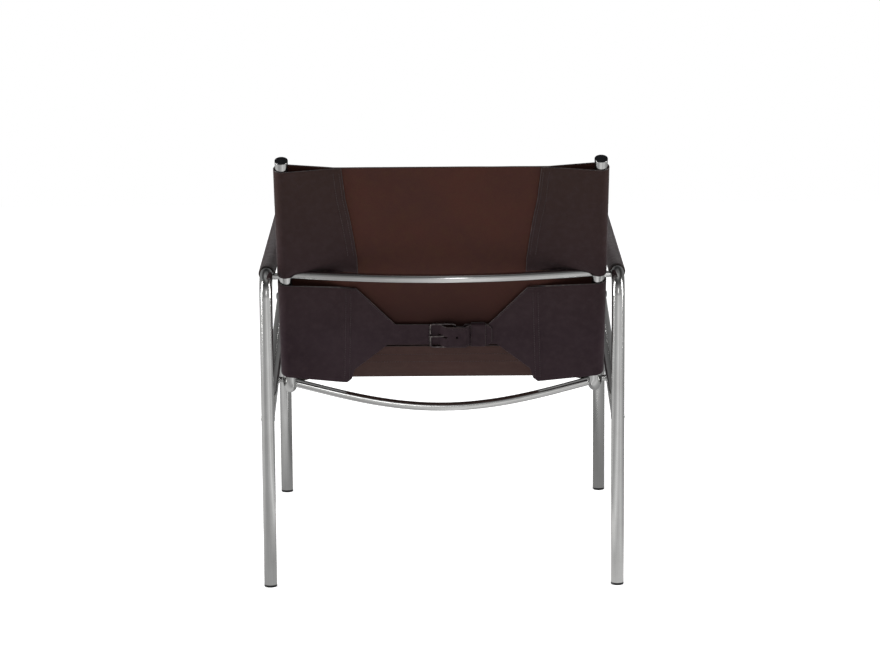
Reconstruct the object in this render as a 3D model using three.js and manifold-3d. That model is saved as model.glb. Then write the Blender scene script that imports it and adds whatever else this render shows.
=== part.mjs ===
// Leather sling lounge chair: chromed steel tube side frames, two bent inner tubes that carry a leather
// sling, three bowed crossbars, leather arm sleeves and two buckled belts. Millimetres, +Z up.
// The chair faces -Y, its left is +X, and the origin is under the middle of its box, on the floor.
import * as THREE from "three";
import { mergeVertices } from "three/addons/utils/BufferGeometryUtils.js";
import Module from "manifold-3d";

const wasm = await Module();
wasm.setup();

// Driving sizes of the frame
const tubeDiameter = 24;
const tubeWall = 2;
const bendRadius = 38;
const sideSpacing = 640;
const slingSpacing = 571;
const legDepth = 715;
const armHeight = 580;
const cornerDepth = 150;
const cornerHeight = 338;
const boltHeight = 408;
const railBelowCorner = 22;
const railAboveBolt = 13;
const recline = THREE.MathUtils.degToRad(24);
const postLength = 507;
const railOverhang = 19;
const crossbarDiameter = 16;
const backCrossbarBow = 53;
const seatCrossbarBow = 50;
const backCrossbarUp = 262;
const rearCrossbarForward = 12;
const crossbarRoom = 15;
const spacerDiameter = 12;
const armSpacerUp = 258;
const rearSpacerForward = 56;
const gap = 0.3;
const overrun = 5;

// Driving sizes of the leather
const hide = 3;
const seam = 176;
const flapEnd = 170;
const flapCorner = 178;
const panelTop = 492;
const panelBottom = { inside: 78, outside: 42 };
const upperFlap = { low: 274, lowInside: 277, high: panelTop, highInside: panelTop };
const lowerFlap = { low: 42, lowInside: 19, cornerCut: 10, high: 249, highInside: 234 };
const seatStart = 66;
const seatInset = 14;
const frontFlapLength = 110;
const seatSag = 14;
const seatRearLift = 8;
const seatLiftRun = 80;
const flapLean = 10;
const underFlapStart = 76;
const underFlapLean = 14;
const overlapHeight = 98;
const overlapHalfWidth = 166;
const foldRadius = 80;
const armHide = 2.5;
const sleeveNotch = 16;

// Driving sizes of a belt and its buckle
const strapWidth = 46;
const backStrapUp = 129;
const seatStrapForward = 245;
const flatReach = 60;
const strapLap = 10;
const shoulderInset = 17;
const strapStart = 86;
const strapTip = 92;
const buckleLength = 46;
const buckleHeight = 51;
const buckleWire = 4;
const buckleCorner = 6;
const buckleBar = 24;
const loopWidth = 36;
const loopReturn = 16;
const rampStart = 6;
const rampEnd = -8;
const tongueFall = 3;
const prongWire = 3;
const prongEyeWall = 1.8;
const prongEyeWidth = 5;
const prongSlotWidth = 7;
const prongTipReach = 4;
const holeDiameter = 5;
const holeSpacing = 26;
const freeHoles = 3;
const prongHoleLength = 14;
const keeperHide = 1.8;
const keeperNear = 53;
const keeperLength = 27;

// Driving sizes of the plastic and bolts
const capRim = 1.5;
const plugDepth = 12;
const glideHeight = 4;
const boltDiameter = 8;
const boltCapDiameter = 15;
const boltCapHeight = 4;
const boltHeadDiameter = 12;

// Step counts
const tubeSides = 20;
const barSides = 12;
const smallSides = 10;
const bendSteps = 6;
const bowSteps = 12;
const wrapSteps = 9;
const frontWrapSteps = 3;
const middleSteps = 3;
const cornerSteps = 3;
const seatRows = 12;

const tubeRadius = tubeDiameter / 2;
const boreRadius = tubeRadius - tubeWall;
const sideX = sideSpacing / 2;
const slingX = slingSpacing / 2;
const railRearHeight = cornerHeight - railBelowCorner;
const railFrontHeight = boltHeight + railAboveBolt;
const railSlope = Math.atan((railFrontHeight - railRearHeight) / legDepth);
const seatSlope = Math.atan((boltHeight - cornerHeight) / (legDepth - cornerDepth));
const boltAlong = (legDepth - cornerDepth) / Math.cos(seatSlope);
const seatRailLength = boltAlong + railOverhang;
const seatEnd = boltAlong - seatInset;
const frontFlapStart = seatEnd - frontFlapLength;
const frontCrossbarForward = frontFlapStart - crossbarRoom;
const underFlapEnd = frontCrossbarForward - crossbarRoom;
const frontFlap = {
  low: frontFlapStart,
  lowInside: frontFlapStart + flapLean,
  high: seatEnd,
  highInside: seatEnd,
};
const underFlap = {
  low: underFlapStart,
  lowInside: underFlapStart + underFlapLean,
  high: underFlapEnd,
  highInside: underFlapEnd - underFlapLean,
};
const level = hide + gap;

const chrome = { color: 0xb4b5b6, roughness: 0.22, metalness: 1 };
const darkMetal = { color: 0x4a474a, roughness: 0.35, metalness: 1 };
const blackPlastic = { color: 0x1b1b1d, roughness: 0.5, metalness: 0 };
const grainLeather = { color: 0x2f2529, roughness: 0.55, metalness: 0 };
const panelLeather = { color: 0x3e2826, roughness: 0.75, metalness: 0 };

const chair = new THREE.Group();

function add(name, geometry, finish) {
  const mesh = new THREE.Mesh(geometry, new THREE.MeshStandardMaterial(finish));
  mesh.name = name;
  chair.add(mesh);
  return mesh;
}

// Booleans on closed meshes
function toManifold(geometry) {
  const bare = geometry.clone();
  bare.deleteAttribute("normal");
  bare.deleteAttribute("uv");
  const merged = mergeVertices(bare);
  const index = merged.index;
  const solid = new wasm.Mesh({
    numProp: 3,
    vertProperties: new Float32Array(merged.attributes.position.array),
    triVerts: new Uint32Array(index.array),
  });
  return new wasm.Manifold(solid);
}

function toGeometry(solid) {
  const mesh = solid.getMesh();
  const geometry = new THREE.BufferGeometry();
  geometry.setAttribute("position", new THREE.BufferAttribute(mesh.vertProperties, 3));
  geometry.setIndex(new THREE.BufferAttribute(mesh.triVerts, 1));
  geometry.computeVertexNormals();
  return geometry;
}

function join(geometries) {
  return toGeometry(geometries.map(toManifold).reduce((all, next) => all.add(next)));
}

function cut(geometry, cutters) {
  const start = toManifold(geometry);
  return toGeometry(cutters.map(toManifold).reduce((rest, cutter) => rest.subtract(cutter), start));
}

// A closed geometry from points and quads, turned so that its faces point out
function closedGeometry(points, quads) {
  const triangles = quads.flatMap(([a, b, c, d]) => [[a, b, c], [a, c, d]]);
  const volume = triangles.reduce((sum, [a, b, c]) => {
    const normal = new THREE.Vector3().crossVectors(points[b], points[c]);
    return sum + points[a].dot(normal);
  }, 0);
  const faces = volume < 0 ? triangles.map(([a, b, c]) => [a, c, b]) : triangles;
  const geometry = new THREE.BufferGeometry();
  geometry.setAttribute("position", new THREE.Float32BufferAttribute(points.flatMap((p) => p.toArray()), 3));
  geometry.setIndex(faces.flat());
  geometry.computeVertexNormals();
  return geometry;
}

// Tubes and bars along paths that are given by stations, each with a point and a tangent
class StationPath extends THREE.Curve {
  constructor(stations) {
    super();
    this.stations = stations;
  }

  station(u) {
    return this.stations[Math.round(u * (this.stations.length - 1))];
  }

  getPointAt(u, target = new THREE.Vector3()) {
    return target.copy(this.station(u).point);
  }

  getTangentAt(u, target = new THREE.Vector3()) {
    return target.copy(this.station(u).tangent);
  }
}

// Corner points joined by straight runs, with an arc of the bend radius at every inner corner
function bentPath(corners, radius, steps) {
  const stations = [];
  const direction = (from, to) => new THREE.Vector3().subVectors(to, from).normalize();
  const first = direction(corners[0], corners[1]);
  stations.push({ point: corners[0].clone(), tangent: first });
  for (let i = 1; i < corners.length - 1; i += 1) {
    const before = direction(corners[i - 1], corners[i]);
    const after = direction(corners[i], corners[i + 1]);
    const turn = before.angleTo(after);
    const start = corners[i].clone().addScaledVector(before, -radius * Math.tan(turn / 2));
    const inward = after.clone().addScaledVector(before, -after.dot(before)).normalize();
    const centre = start.clone().addScaledVector(inward, radius);
    for (let k = 0; k <= steps; k += 1) {
      const angle = (turn * k) / steps;
      const point = centre.clone()
        .addScaledVector(inward, -radius * Math.cos(angle))
        .addScaledVector(before, radius * Math.sin(angle));
      const tangent = before.clone()
        .multiplyScalar(Math.cos(angle))
        .addScaledVector(inward, Math.sin(angle));
      stations.push({ point, tangent });
    }
  }
  const last = corners[corners.length - 1];
  stations.push({ point: last.clone(), tangent: direction(corners[corners.length - 2], last) });
  return new StationPath(stations);
}

function circle(radius, sides, Kind = THREE.Shape) {
  const outline = new Kind();
  for (let i = 0; i < sides; i += 1) {
    const angle = (2 * Math.PI * i) / sides;
    const [x, y] = [radius * Math.cos(angle), radius * Math.sin(angle)];
    if (i === 0) outline.moveTo(x, y);
    else outline.lineTo(x, y);
  }
  outline.closePath();
  return outline;
}

function sweep(shape, path) {
  return new THREE.ExtrudeGeometry(shape, {
    extrudePath: path,
    steps: path.stations.length - 1,
    bevelEnabled: false,
  });
}

function tube(path, outer, inner, sides) {
  const shape = circle(outer, sides);
  shape.holes.push(circle(inner, sides, THREE.Path));
  return sweep(shape, path);
}

function straightPath(from, to) {
  const tangent = new THREE.Vector3().subVectors(to, from).normalize();
  return new StationPath([{ point: from, tangent }, { point: to, tangent }]);
}

function rod(from, to, radius, sides) {
  return sweep(circle(radius, sides), straightPath(from, to));
}

// A round part turned on its axis, set at a point and aimed along a direction
function turned(profile, sides, at, along) {
  const geometry = new THREE.LatheGeometry(profile.map(([r, y]) => new THREE.Vector2(r, y)), sides);
  const turn = new THREE.Quaternion().setFromUnitVectors(new THREE.Vector3(0, 1, 0), along);
  geometry.applyQuaternion(turn);
  geometry.translate(at.x, at.y, at.z);
  return geometry;
}

// The room that a tube needs where another piece meets it
function tubeBore(from, to) {
  return rod(from, to, tubeRadius + gap, tubeSides);
}

// The two planes of the sling. Each has a corner point, an up or forward direction along the tubes
// and an outward direction, away from the sitter.
const corner = new THREE.Vector3(0, -cornerDepth, cornerHeight);
const xAxis = new THREE.Vector3(1, 0, 0);
const backPlane = {
  along: new THREE.Vector3(0, Math.sin(recline), Math.cos(recline)),
  outward: new THREE.Vector3(0, Math.cos(recline), -Math.sin(recline)),
};
const seatPlane = {
  along: new THREE.Vector3(0, -Math.cos(seatSlope), Math.sin(seatSlope)),
  outward: new THREE.Vector3(0, -Math.sin(seatSlope), -Math.cos(seatSlope)),
};

function onPlane(plane, x, along, out) {
  return corner.clone()
    .addScaledVector(xAxis, x)
    .addScaledVector(plane.along, along)
    .addScaledVector(plane.outward, out);
}

// Side frames: an upside-down U of tube with a straight rail from the rear leg to the front leg
function railHeight(depth) {
  return railRearHeight + depth * Math.tan(railSlope);
}

const legFoot = glideHeight + gap;
for (const [side, sign] of [["left", 1], ["right", -1]]) {
  const x = sign * sideX;
  const corners = [
    new THREE.Vector3(x, 0, legFoot),
    new THREE.Vector3(x, 0, armHeight),
    new THREE.Vector3(x, -legDepth, armHeight),
    new THREE.Vector3(x, -legDepth, legFoot),
  ];
  const boltAt = new THREE.Vector3(x, -legDepth, boltHeight);
  const boltHole = rod(
    boltAt.clone().addScaledVector(xAxis, -tubeDiameter),
    boltAt.clone().addScaledVector(xAxis, tubeDiameter),
    boltDiameter / 2 + gap,
    smallSides,
  );
  const frame = tube(bentPath(corners, bendRadius, bendSteps), tubeRadius, boreRadius, tubeSides);
  add(`side_frame_${side}`, cut(frame, [boltHole]), chrome);

  const legs = [0, -legDepth].map((y) => tubeBore(
    new THREE.Vector3(x, y, 0),
    new THREE.Vector3(x, y, armHeight),
  ));
  const [railStart, railEnd] = [tubeRadius / 2, legDepth - tubeRadius / 2];
  const railPath = straightPath(
    new THREE.Vector3(x, -railStart, railHeight(railStart)),
    new THREE.Vector3(x, -railEnd, railHeight(railEnd)),
  );
  add(`side_rail_${side}`, cut(tube(railPath, tubeRadius, boreRadius, tubeSides), legs), chrome);
}

// Inner tubes that carry the sling: a reclined post, one bend and a seat rail
for (const [side, sign] of [["left", 1], ["right", -1]]) {
  const x = sign * slingX;
  const postTop = onPlane(backPlane, x, postLength, 0);
  const railTip = onPlane(seatPlane, x, seatRailLength, 0);
  const path = bentPath([postTop, onPlane(backPlane, x, 0, 0), railTip], bendRadius, bendSteps);
  const boltAt = new THREE.Vector3(x, -legDepth, boltHeight);
  const boltHole = rod(
    boltAt.clone(),
    boltAt.clone().addScaledVector(xAxis, sign * tubeDiameter),
    boltDiameter / 2 + gap,
    smallSides,
  );
  add(`sling_tube_${side}`, cut(tube(path, tubeRadius, boreRadius, tubeSides), [boltHole]), chrome);
}

// Crossbars: bars bowed away from the sitter, with ends cut to the round of the inner tubes
function crossbar(plane, along, bowDirection, bow) {
  const reach = slingX - boreRadius;
  const stations = [];
  for (let i = 0; i <= bowSteps; i += 1) {
    const share = (2 * i) / bowSteps - 1;
    const rise = Math.cos((share * Math.PI) / 2);
    const slope = (-bow * Math.PI * Math.sin((share * Math.PI) / 2)) / (2 * reach);
    const point = onPlane(plane, share * reach, along, 0).addScaledVector(bowDirection, bow * rise);
    const tangent = xAxis.clone().addScaledVector(bowDirection, slope).normalize();
    stations.push({ point, tangent });
  }
  const bar = sweep(circle(crossbarDiameter / 2, barSides), new StationPath(stations));
  const tubes = [-slingX, slingX].map((x) => tubeBore(
    onPlane(plane, x, along - tubeDiameter, 0),
    onPlane(plane, x, along + tubeDiameter, 0),
  ));
  return cut(bar, tubes);
}

const backward = new THREE.Vector3(0, 1, 0);
const bendRun = bendRadius * Math.tan((Math.PI / 2 - recline + seatSlope) / 2);
const downward = seatPlane.outward;
add("back_crossbar", crossbar(backPlane, backCrossbarUp, backward, backCrossbarBow), chrome);
add("rear_crossbar", crossbar(seatPlane, bendRun + rearCrossbarForward, downward, seatCrossbarBow), chrome);
add("front_crossbar", crossbar(seatPlane, frontCrossbarForward, downward, seatCrossbarBow), chrome);

// Spacers that hold the inner tubes off the side frames
function spacer(centre, sign) {
  const from = centre.clone().setX(sign * (slingX + boreRadius));
  const to = centre.clone().setX(sign * (sideX - boreRadius));
  return rod(from, to, spacerDiameter / 2, smallSides);
}

for (const [side, sign] of [["left", 1], ["right", -1]]) {
  const armPoint = onPlane(backPlane, 0, armSpacerUp, 0);
  const post = tubeBore(
    onPlane(backPlane, sign * slingX, armSpacerUp - tubeDiameter, 0),
    onPlane(backPlane, sign * slingX, armSpacerUp + tubeDiameter, 0),
  );
  const arm = tubeBore(
    new THREE.Vector3(sign * sideX, 0, armHeight),
    new THREE.Vector3(sign * sideX, -legDepth, armHeight),
  );
  add(`arm_spacer_${side}`, cut(spacer(armPoint, sign), [post, arm]), chrome);

  const seatRail = tubeBore(
    onPlane(seatPlane, sign * slingX, 0, 0),
    onPlane(seatPlane, sign * slingX, seatRailLength, 0),
  );
  const sideRail = tubeBore(
    new THREE.Vector3(sign * sideX, 0, railHeight(0)),
    new THREE.Vector3(sign * sideX, -legDepth, railHeight(legDepth)),
  );
  const rearPoint = onPlane(seatPlane, 0, rearSpacerForward, 0);
  add(`rear_spacer_${side}`, cut(spacer(rearPoint, sign), [seatRail, sideRail]), chrome);

  const frontPoint = new THREE.Vector3(0, -legDepth, boltHeight);
  const leg = tubeBore(
    new THREE.Vector3(sign * sideX, -legDepth, 0),
    new THREE.Vector3(sign * sideX, -legDepth, armHeight),
  );
  const boltBore = rod(
    frontPoint.clone().setX(sign * slingX),
    frontPoint.clone().setX(sign * sideX),
    boltDiameter / 2 + gap,
    smallSides,
  );
  add(`front_spacer_${side}`, cut(spacer(frontPoint, sign), [seatRail, sideRail, leg, boltBore]), chrome);
}

// Bolts through the front legs into the seat rails, each with a domed black cap outside
for (const [side, sign] of [["left", 1], ["right", -1]]) {
  const outward = xAxis.clone().multiplyScalar(sign);
  const seat = new THREE.Vector3(sign * (sideX + tubeRadius + gap), -legDepth, boltHeight);
  const shank = sideX - slingX + tubeRadius;
  const headHeight = boltCapHeight / 2;
  const bolt = [
    [0, -shank], [boltDiameter / 2, -shank], [boltDiameter / 2, 0],
    [boltHeadDiameter / 2, 0], [boltHeadDiameter / 2, headHeight], [0, headHeight],
  ];
  add(`frame_bolt_${side}`, turned(bolt, smallSides, seat, outward), chrome);
  const wall = (boltCapDiameter - boltHeadDiameter) / 2;
  const innerRadius = boltHeadDiameter / 2 + gap;
  const innerTop = headHeight + gap;
  const dome = innerTop + wall;
  const cap = [
    [0, innerTop], [innerRadius, innerTop], [innerRadius, 0],
    [innerRadius + wall, 0], [innerRadius + wall, headHeight / 2], [innerRadius, dome - wall / 2], [0, dome],
  ];
  add(`bolt_cap_${side}`, turned(cap, tubeSides, seat, outward), blackPlastic);
}

// Black end caps on the posts and seat rails, and glides under the legs
function plugProfile(rim) {
  const plugRadius = boreRadius - gap;
  const top = gap + rim;
  return [
    [0, -plugDepth], [plugRadius, -plugDepth], [plugRadius, gap],
    [tubeRadius, gap], [tubeRadius, top], [0, top],
  ];
}

for (const [side, sign] of [["left", 1], ["right", -1]]) {
  const postEnd = onPlane(backPlane, sign * slingX, postLength, 0);
  add(`post_cap_${side}`, turned(plugProfile(capRim), tubeSides, postEnd, backPlane.along), blackPlastic);
  const railEnd = onPlane(seatPlane, sign * slingX, seatRailLength, 0);
  add(`rail_cap_${side}`, turned(plugProfile(capRim), tubeSides, railEnd, seatPlane.along), blackPlastic);
  for (const [place, y] of [["rear", 0], ["front", -legDepth]]) {
    const foot = new THREE.Vector3(sign * sideX, y, legFoot);
    const down = new THREE.Vector3(0, 0, -1);
    const glide = turned(plugProfile(glideHeight), tubeSides, foot, down);
    add(`foot_glide_${place}_${side}`, glide, blackPlastic);
  }
}

// Leather sheets: stations across the hide give its middle line and its normal, in the plane that is
// square to the tubes. Each station has its own lower and upper limit along the tubes.
function leatherSheet(stations, limits, rows, thickness, place) {
  const points = [];
  const id = (i, j, face) => (i * (rows + 1) + j) * 2 + face;
  stations.forEach(({ x, out, nx, nout, share = 1 }) => {
    const [low, high] = limits(x);
    for (let j = 0; j <= rows; j += 1) {
      const along = low + ((high - low) * j) / rows;
      for (const face of [-1, 1]) {
        const half = (face * share * thickness) / 2;
        points.push(place(x + nx * half, out + nout * half, along));
      }
    }
  });
  const quads = [];
  const lastRow = rows;
  const lastStation = stations.length - 1;
  for (let i = 0; i < lastStation; i += 1) {
    for (let j = 0; j < rows; j += 1) {
      quads.push([id(i, j, 1), id(i + 1, j, 1), id(i + 1, j + 1, 1), id(i, j + 1, 1)]);
      quads.push([id(i, j, 0), id(i, j + 1, 0), id(i + 1, j + 1, 0), id(i + 1, j, 0)]);
    }
    quads.push([id(i, 0, 0), id(i + 1, 0, 0), id(i + 1, 0, 1), id(i, 0, 1)]);
    quads.push([id(i, lastRow, 1), id(i + 1, lastRow, 1), id(i + 1, lastRow, 0), id(i, lastRow, 0)]);
  }
  const end = lastStation;
  for (let j = 0; j < rows; j += 1) {
    quads.push([id(0, j, 1), id(0, j + 1, 1), id(0, j + 1, 0), id(0, j, 0)]);
    quads.push([id(end, j, 0), id(end, j + 1, 0), id(end, j + 1, 1), id(end, j, 1)]);
  }
  return closedGeometry(points, quads);
}

// Stations along a polyline of [x, out] points, with normals halved at the corners
function lineStations(line) {
  return line.map(([x, out], i) => {
    const [ax, aout] = line[Math.max(i - 1, 0)];
    const [bx, bout] = line[Math.min(i + 1, line.length - 1)];
    const length = Math.hypot(bx - ax, bout - aout);
    return { x, out, nx: -(bout - aout) / length, nout: (bx - ax) / length };
  });
}

// The hide round a tube at x = slingX, as [x, out] points: from the seam inside, over the sitter's side
// of the tube, round its outside and back to the end of the flap
function wrapLine() {
  const radius = tubeRadius + gap + hide / 2;
  const reach = Math.hypot(slingX - seam, level / 2);
  const lean = Math.atan2(level / 2, slingX - seam);
  const touch = Math.acos(radius / reach);
  const frontAngle = Math.PI + lean + touch;
  const sweepAngle = 2 * Math.PI - 2 * (lean + touch);
  const arc = [];
  for (let k = 0; k <= wrapSteps; k += 1) {
    const angle = frontAngle + (sweepAngle * k) / wrapSteps;
    arc.push([slingX + radius * Math.cos(angle), radius * Math.sin(angle)]);
  }
  const [touchX, touchOut] = arc.at(-1);
  const wrapLean = (touchOut - level / 2) / (touchX - seam);
  const back = [
    [flapCorner, level / 2 + (flapCorner - seam) * wrapLean],
    [seam, level / 2],
    [flapEnd, level / 2],
  ];
  return { arc, back, wrapLean };
}

const mirrorLine = (line) => line.map(([x, out]) => [-x, out]).reverse();

function interpolate(table, at) {
  const last = table.length - 1;
  for (let i = 1; i <= last; i += 1) {
    const [x0, y0] = table[i - 1];
    const [x1, y1] = table[i];
    if (at <= x1 || i === last) return y0 + ((y1 - y0) * (at - x0)) / (x1 - x0);
  }
  return table[last][1];
}

// The whole hide across the chair, cut into the sitter's layer and the two wrapped runs. Each wrapped run
// starts with a thinner tongue inside the sitter's layer.
const tailEdge = overlapHalfWidth + hide;
const outerHide = slingX + tubeRadius + gap + hide;
const { arc, back, wrapLean } = wrapLine();
const half = [];
for (let i = 1; i <= middleSteps; i += 1) half.push([(tailEdge * i) / middleSteps, -level / 2]);
half.push([seam, -level / 2], ...arc, ...back);
const across = lineStations([...mirrorLine(half), ...half]);
const frontCount = middleSteps + frontWrapSteps + 2;
const frontStations = across.slice(half.length - frontCount, half.length + frontCount);
const firstTongue = half.length - frontCount + 1;
const lastTongue = half.length + frontCount - 2;
const wrappedRuns = [
  [...across.slice(0, firstTongue), { ...across[firstTongue], share: 1 / 2 }],
  [{ ...across[lastTongue], share: 1 / 2 }, ...across.slice(lastTongue + 1)],
];

function flaps(shape, place) {
  const cornerLow = shape.lowInside + (shape.cornerCut ?? 0);
  const limits = (x) => [
    interpolate([[flapEnd, cornerLow], [flapCorner, shape.lowInside], [outerHide, shape.low]], Math.abs(x)),
    interpolate([[flapEnd, shape.highInside], [outerHide, shape.high]], Math.abs(x)),
  ];
  return wrappedRuns.map((run) => leatherSheet(run, limits, 1, hide, place));
}

// Back panel: one hide from post to post, with an upper and a lower flap folded round each post
const placeBack = (x, out, along) => onPlane(backPlane, x, along, out);
const backLimits = (x) => [Math.abs(x) <= tailEdge ? panelBottom.inside : panelBottom.outside, panelTop];
const backFront = leatherSheet(frontStations, backLimits, 1, hide, placeBack);
add("back_panel", join([
  backFront,
  ...flaps(upperFlap, placeBack),
  ...flaps(lowerFlap, placeBack),
]), panelLeather);

// Seat panel: the same on the seat rails, hollowed a little, with a tail folded up behind the back panel
const ease = (share) => (1 - Math.cos(Math.PI * Math.min(Math.max(share, 0), 1))) / 2;

function seatDrop(x, along) {
  const across = ease((seam - Math.abs(x)) / (seam - strapTip));
  const behind = ease((along - seatStart) / (seatStrapForward - flatReach - seatStart));
  const ahead = ease((seatEnd - along) / (seatEnd - seatStrapForward - flatReach));
  return seatSag * across * Math.min(behind, ahead);
}

function seatLift(x, along) {
  const across = Math.min(Math.max((slingX - Math.abs(x)) / (slingX - seam), 0), 1);
  return seatRearLift * across * (1 - ease((along - seatStart) / seatLiftRun));
}

function placeSeat(x, out, along) {
  return onPlane(seatPlane, x, along, out + seatDrop(x, along) - seatLift(x, along));
}

const seatFront = leatherSheet(frontStations, () => [seatStart, seatEnd], seatRows, hide, placeSeat);

function seatTail() {
  const seatOut = gap - level / 2 - seatRearLift;
  const backOut = level / 2;
  const facing = backPlane.outward.dot(seatPlane.outward);
  const up = (seatOut - backOut * facing) / backPlane.along.dot(seatPlane.outward);
  const path = bentPath(
    [
      onPlane(seatPlane, 0, seatStart + overrun, seatOut),
      onPlane(backPlane, 0, up, backOut),
      onPlane(backPlane, 0, overlapHeight, backOut),
    ],
    foldRadius,
    bendSteps,
  );
  const points = [];
  path.stations.forEach(({ point, tangent }) => {
    const normal = new THREE.Vector3().crossVectors(xAxis, tangent).normalize();
    for (const x of [-overlapHalfWidth, overlapHalfWidth]) {
      for (const face of [-1, 1]) {
        points.push(point.clone().setX(x).addScaledVector(normal, (face * hide) / 2));
      }
    }
  });
  const ring = (i) => [0, 1, 3, 2].map((k) => 4 * i + k);
  const last = path.stations.length - 1;
  const quads = [ring(0).reverse(), ring(last)];
  for (let i = 0; i < last; i += 1) {
    const [near, far] = [ring(i), ring(i + 1)];
    near.forEach((from, k) => {
      const next = (k + 1) % near.length;
      quads.push([from, near[next], far[next], far[k]]);
    });
  }
  return closedGeometry(points, quads);
}

add("seat_panel", join([
  seatFront,
  seatTail(),
  ...flaps(frontFlap, placeSeat),
  ...flaps(underFlap, placeSeat),
]), panelLeather);

// Belts: tapered hides sewn to the lower flaps, with a holed tongue on the left and a buckle on the right
const beltOut = 1.5 * level;
const barOut = beltOut + hide / 2 + gap + buckleWire / 2;
const loopRadius = buckleWire / 2 + gap + hide / 2;
const returnOut = barOut + loopRadius;
const overOut = returnOut + level;

const flapRoot = seam + strapLap;
const flapShoulder = seam - shoulderInset;
const lowStart = strapStart + strapWidth / 3;
const taper = [
  [flapRoot, beltOut + strapLap * wrapLean],
  [seam, beltOut],
  [flapShoulder, beltOut],
  [lowStart, beltOut],
  [strapStart, beltOut],
];

// Each belt's lower and upper edge: the flap's height at the seam, the strap's width further in.
// The side is 1 for the belt that starts on the left and -1 for the one on the right.
function beltLimits(flap, centre, side) {
  const lowRoot = flap.lowInside + shoulderInset;
  const highRoot = flap.highInside;
  const high = [[strapStart, centre + strapWidth / 2], [flapShoulder, highRoot], [flapRoot, highRoot]];
  const low = [[lowStart, centre - strapWidth / 2], [seam, lowRoot], [flapRoot, lowRoot]];
  return (x) => [
    interpolate(low, Math.max(side * x, lowStart)),
    interpolate(high, Math.max(side * x, strapStart)),
  ];
}

// A cutter that runs through the leather along its normal at x, long or round
function leatherCutter(plane, x, centre, length, width, drop) {
  const cutter = new THREE.BoxGeometry(length, width, tubeDiameter);
  const basis = new THREE.Matrix4().makeBasis(xAxis, plane.along, plane.outward);
  if (basis.determinant() < 0) basis.makeBasis(xAxis.clone().negate(), plane.along, plane.outward);
  cutter.applyMatrix4(basis);
  const at = onPlane(plane, x, centre, barOut + drop);
  cutter.translate(at.x, at.y, at.z);
  return cutter;
}

function roundHole(plane, x, centre, drop) {
  const reach = tubeDiameter / 2;
  const from = onPlane(plane, x, centre, barOut + drop - reach);
  const to = onPlane(plane, x, centre, barOut + drop + reach);
  return rod(from, to, holeDiameter / 2, smallSides);
}

function tongue(plane, flap, centre, drop, place) {
  const line = [
    ...taper,
    [rampStart, beltOut],
    [rampEnd, overOut],
    [-buckleBar - loopReturn - tongueFall, overOut],
    [tongueFall - keeperNear, beltOut + level],
    [-strapTip, beltOut + level],
  ];
  const hideSheet = leatherSheet(lineStations(line), beltLimits(flap, centre, 1), 1, hide, place);
  const slotX = (rampStart + rampEnd) / 2;
  const slot = leatherCutter(plane, slotX, centre, prongHoleLength, holeDiameter, drop);
  const holes = [];
  for (let k = 1; k <= freeHoles; k += 1) holes.push(roundHole(plane, slotX - k * holeSpacing, centre, drop));
  return cut(hideSheet, [slot, ...holes]);
}

// The buckle's strap: it runs to the buckle's bar, round it and back a little on top, with a slot
// for the prong
function buckleStrap(plane, flap, centre, drop, place) {
  const root = taper.map(([x, out]) => [-x, out]);
  const body = leatherSheet(
    lineStations([...root, [-buckleBar - loopReturn, beltOut]]),
    beltLimits(flap, centre, -1),
    1,
    hide,
    place,
  );
  const loop = [[-buckleBar - loopReturn - overrun, beltOut], [-buckleBar, beltOut]];
  for (let k = 1; k <= bendSteps; k += 1) {
    const angle = Math.PI * (k / bendSteps - 1 / 2);
    loop.push([-buckleBar + loopRadius * Math.cos(angle), barOut + loopRadius * Math.sin(angle)]);
  }
  loop.push([-buckleBar - loopReturn, returnOut]);
  const narrow = () => [centre - loopWidth / 2, centre + loopWidth / 2];
  const loopSheet = leatherSheet(lineStations(loop), narrow, 1, hide, place);
  const slot = leatherCutter(plane, -buckleBar, centre, 2 * (loopRadius + hide), prongSlotWidth, drop);
  return cut(join([body, loopSheet]), [slot]);
}

// A closed wire ring round a list of points that lie in one plane
function wireRing(points, normal, radius, sides) {
  const vertices = [];
  const count = points.length;
  points.forEach((point, i) => {
    const ahead = points[(i + 1) % count].clone().sub(points[(i + count - 1) % count]).normalize();
    const aside = new THREE.Vector3().crossVectors(ahead, normal).normalize();
    for (let k = 0; k < sides; k += 1) {
      const angle = (2 * Math.PI * k) / sides;
      vertices.push(point.clone()
        .addScaledVector(aside, radius * Math.cos(angle))
        .addScaledVector(normal, radius * Math.sin(angle)));
    }
  });
  const quads = [];
  for (let i = 0; i < count; i += 1) {
    for (let k = 0; k < sides; k += 1) {
      const [a, b] = [i * sides, ((i + 1) % count) * sides];
      const next = (k + 1) % sides;
      quads.push([a + k, b + k, b + next, a + next]);
    }
  }
  return closedGeometry(vertices, quads);
}

function buckleFrame(plane, centre, drop) {
  const middle = buckleLength / 2 - buckleBar;
  const points = [];
  [[1, 1], [-1, 1], [-1, -1], [1, -1]].forEach(([sx, sy], quarter) => {
    const cx = middle + sx * (buckleLength / 2 - buckleCorner);
    const cy = centre + sy * (buckleHeight / 2 - buckleCorner);
    for (let k = 0; k <= cornerSteps; k += 1) {
      const angle = (Math.PI / 2) * (quarter + k / cornerSteps);
      const [x, along] = [cx + buckleCorner * Math.cos(angle), cy + buckleCorner * Math.sin(angle)];
      points.push(onPlane(plane, x, along, barOut + drop));
    }
  });
  return wireRing(points, plane.outward, buckleWire / 2, smallSides);
}

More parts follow.
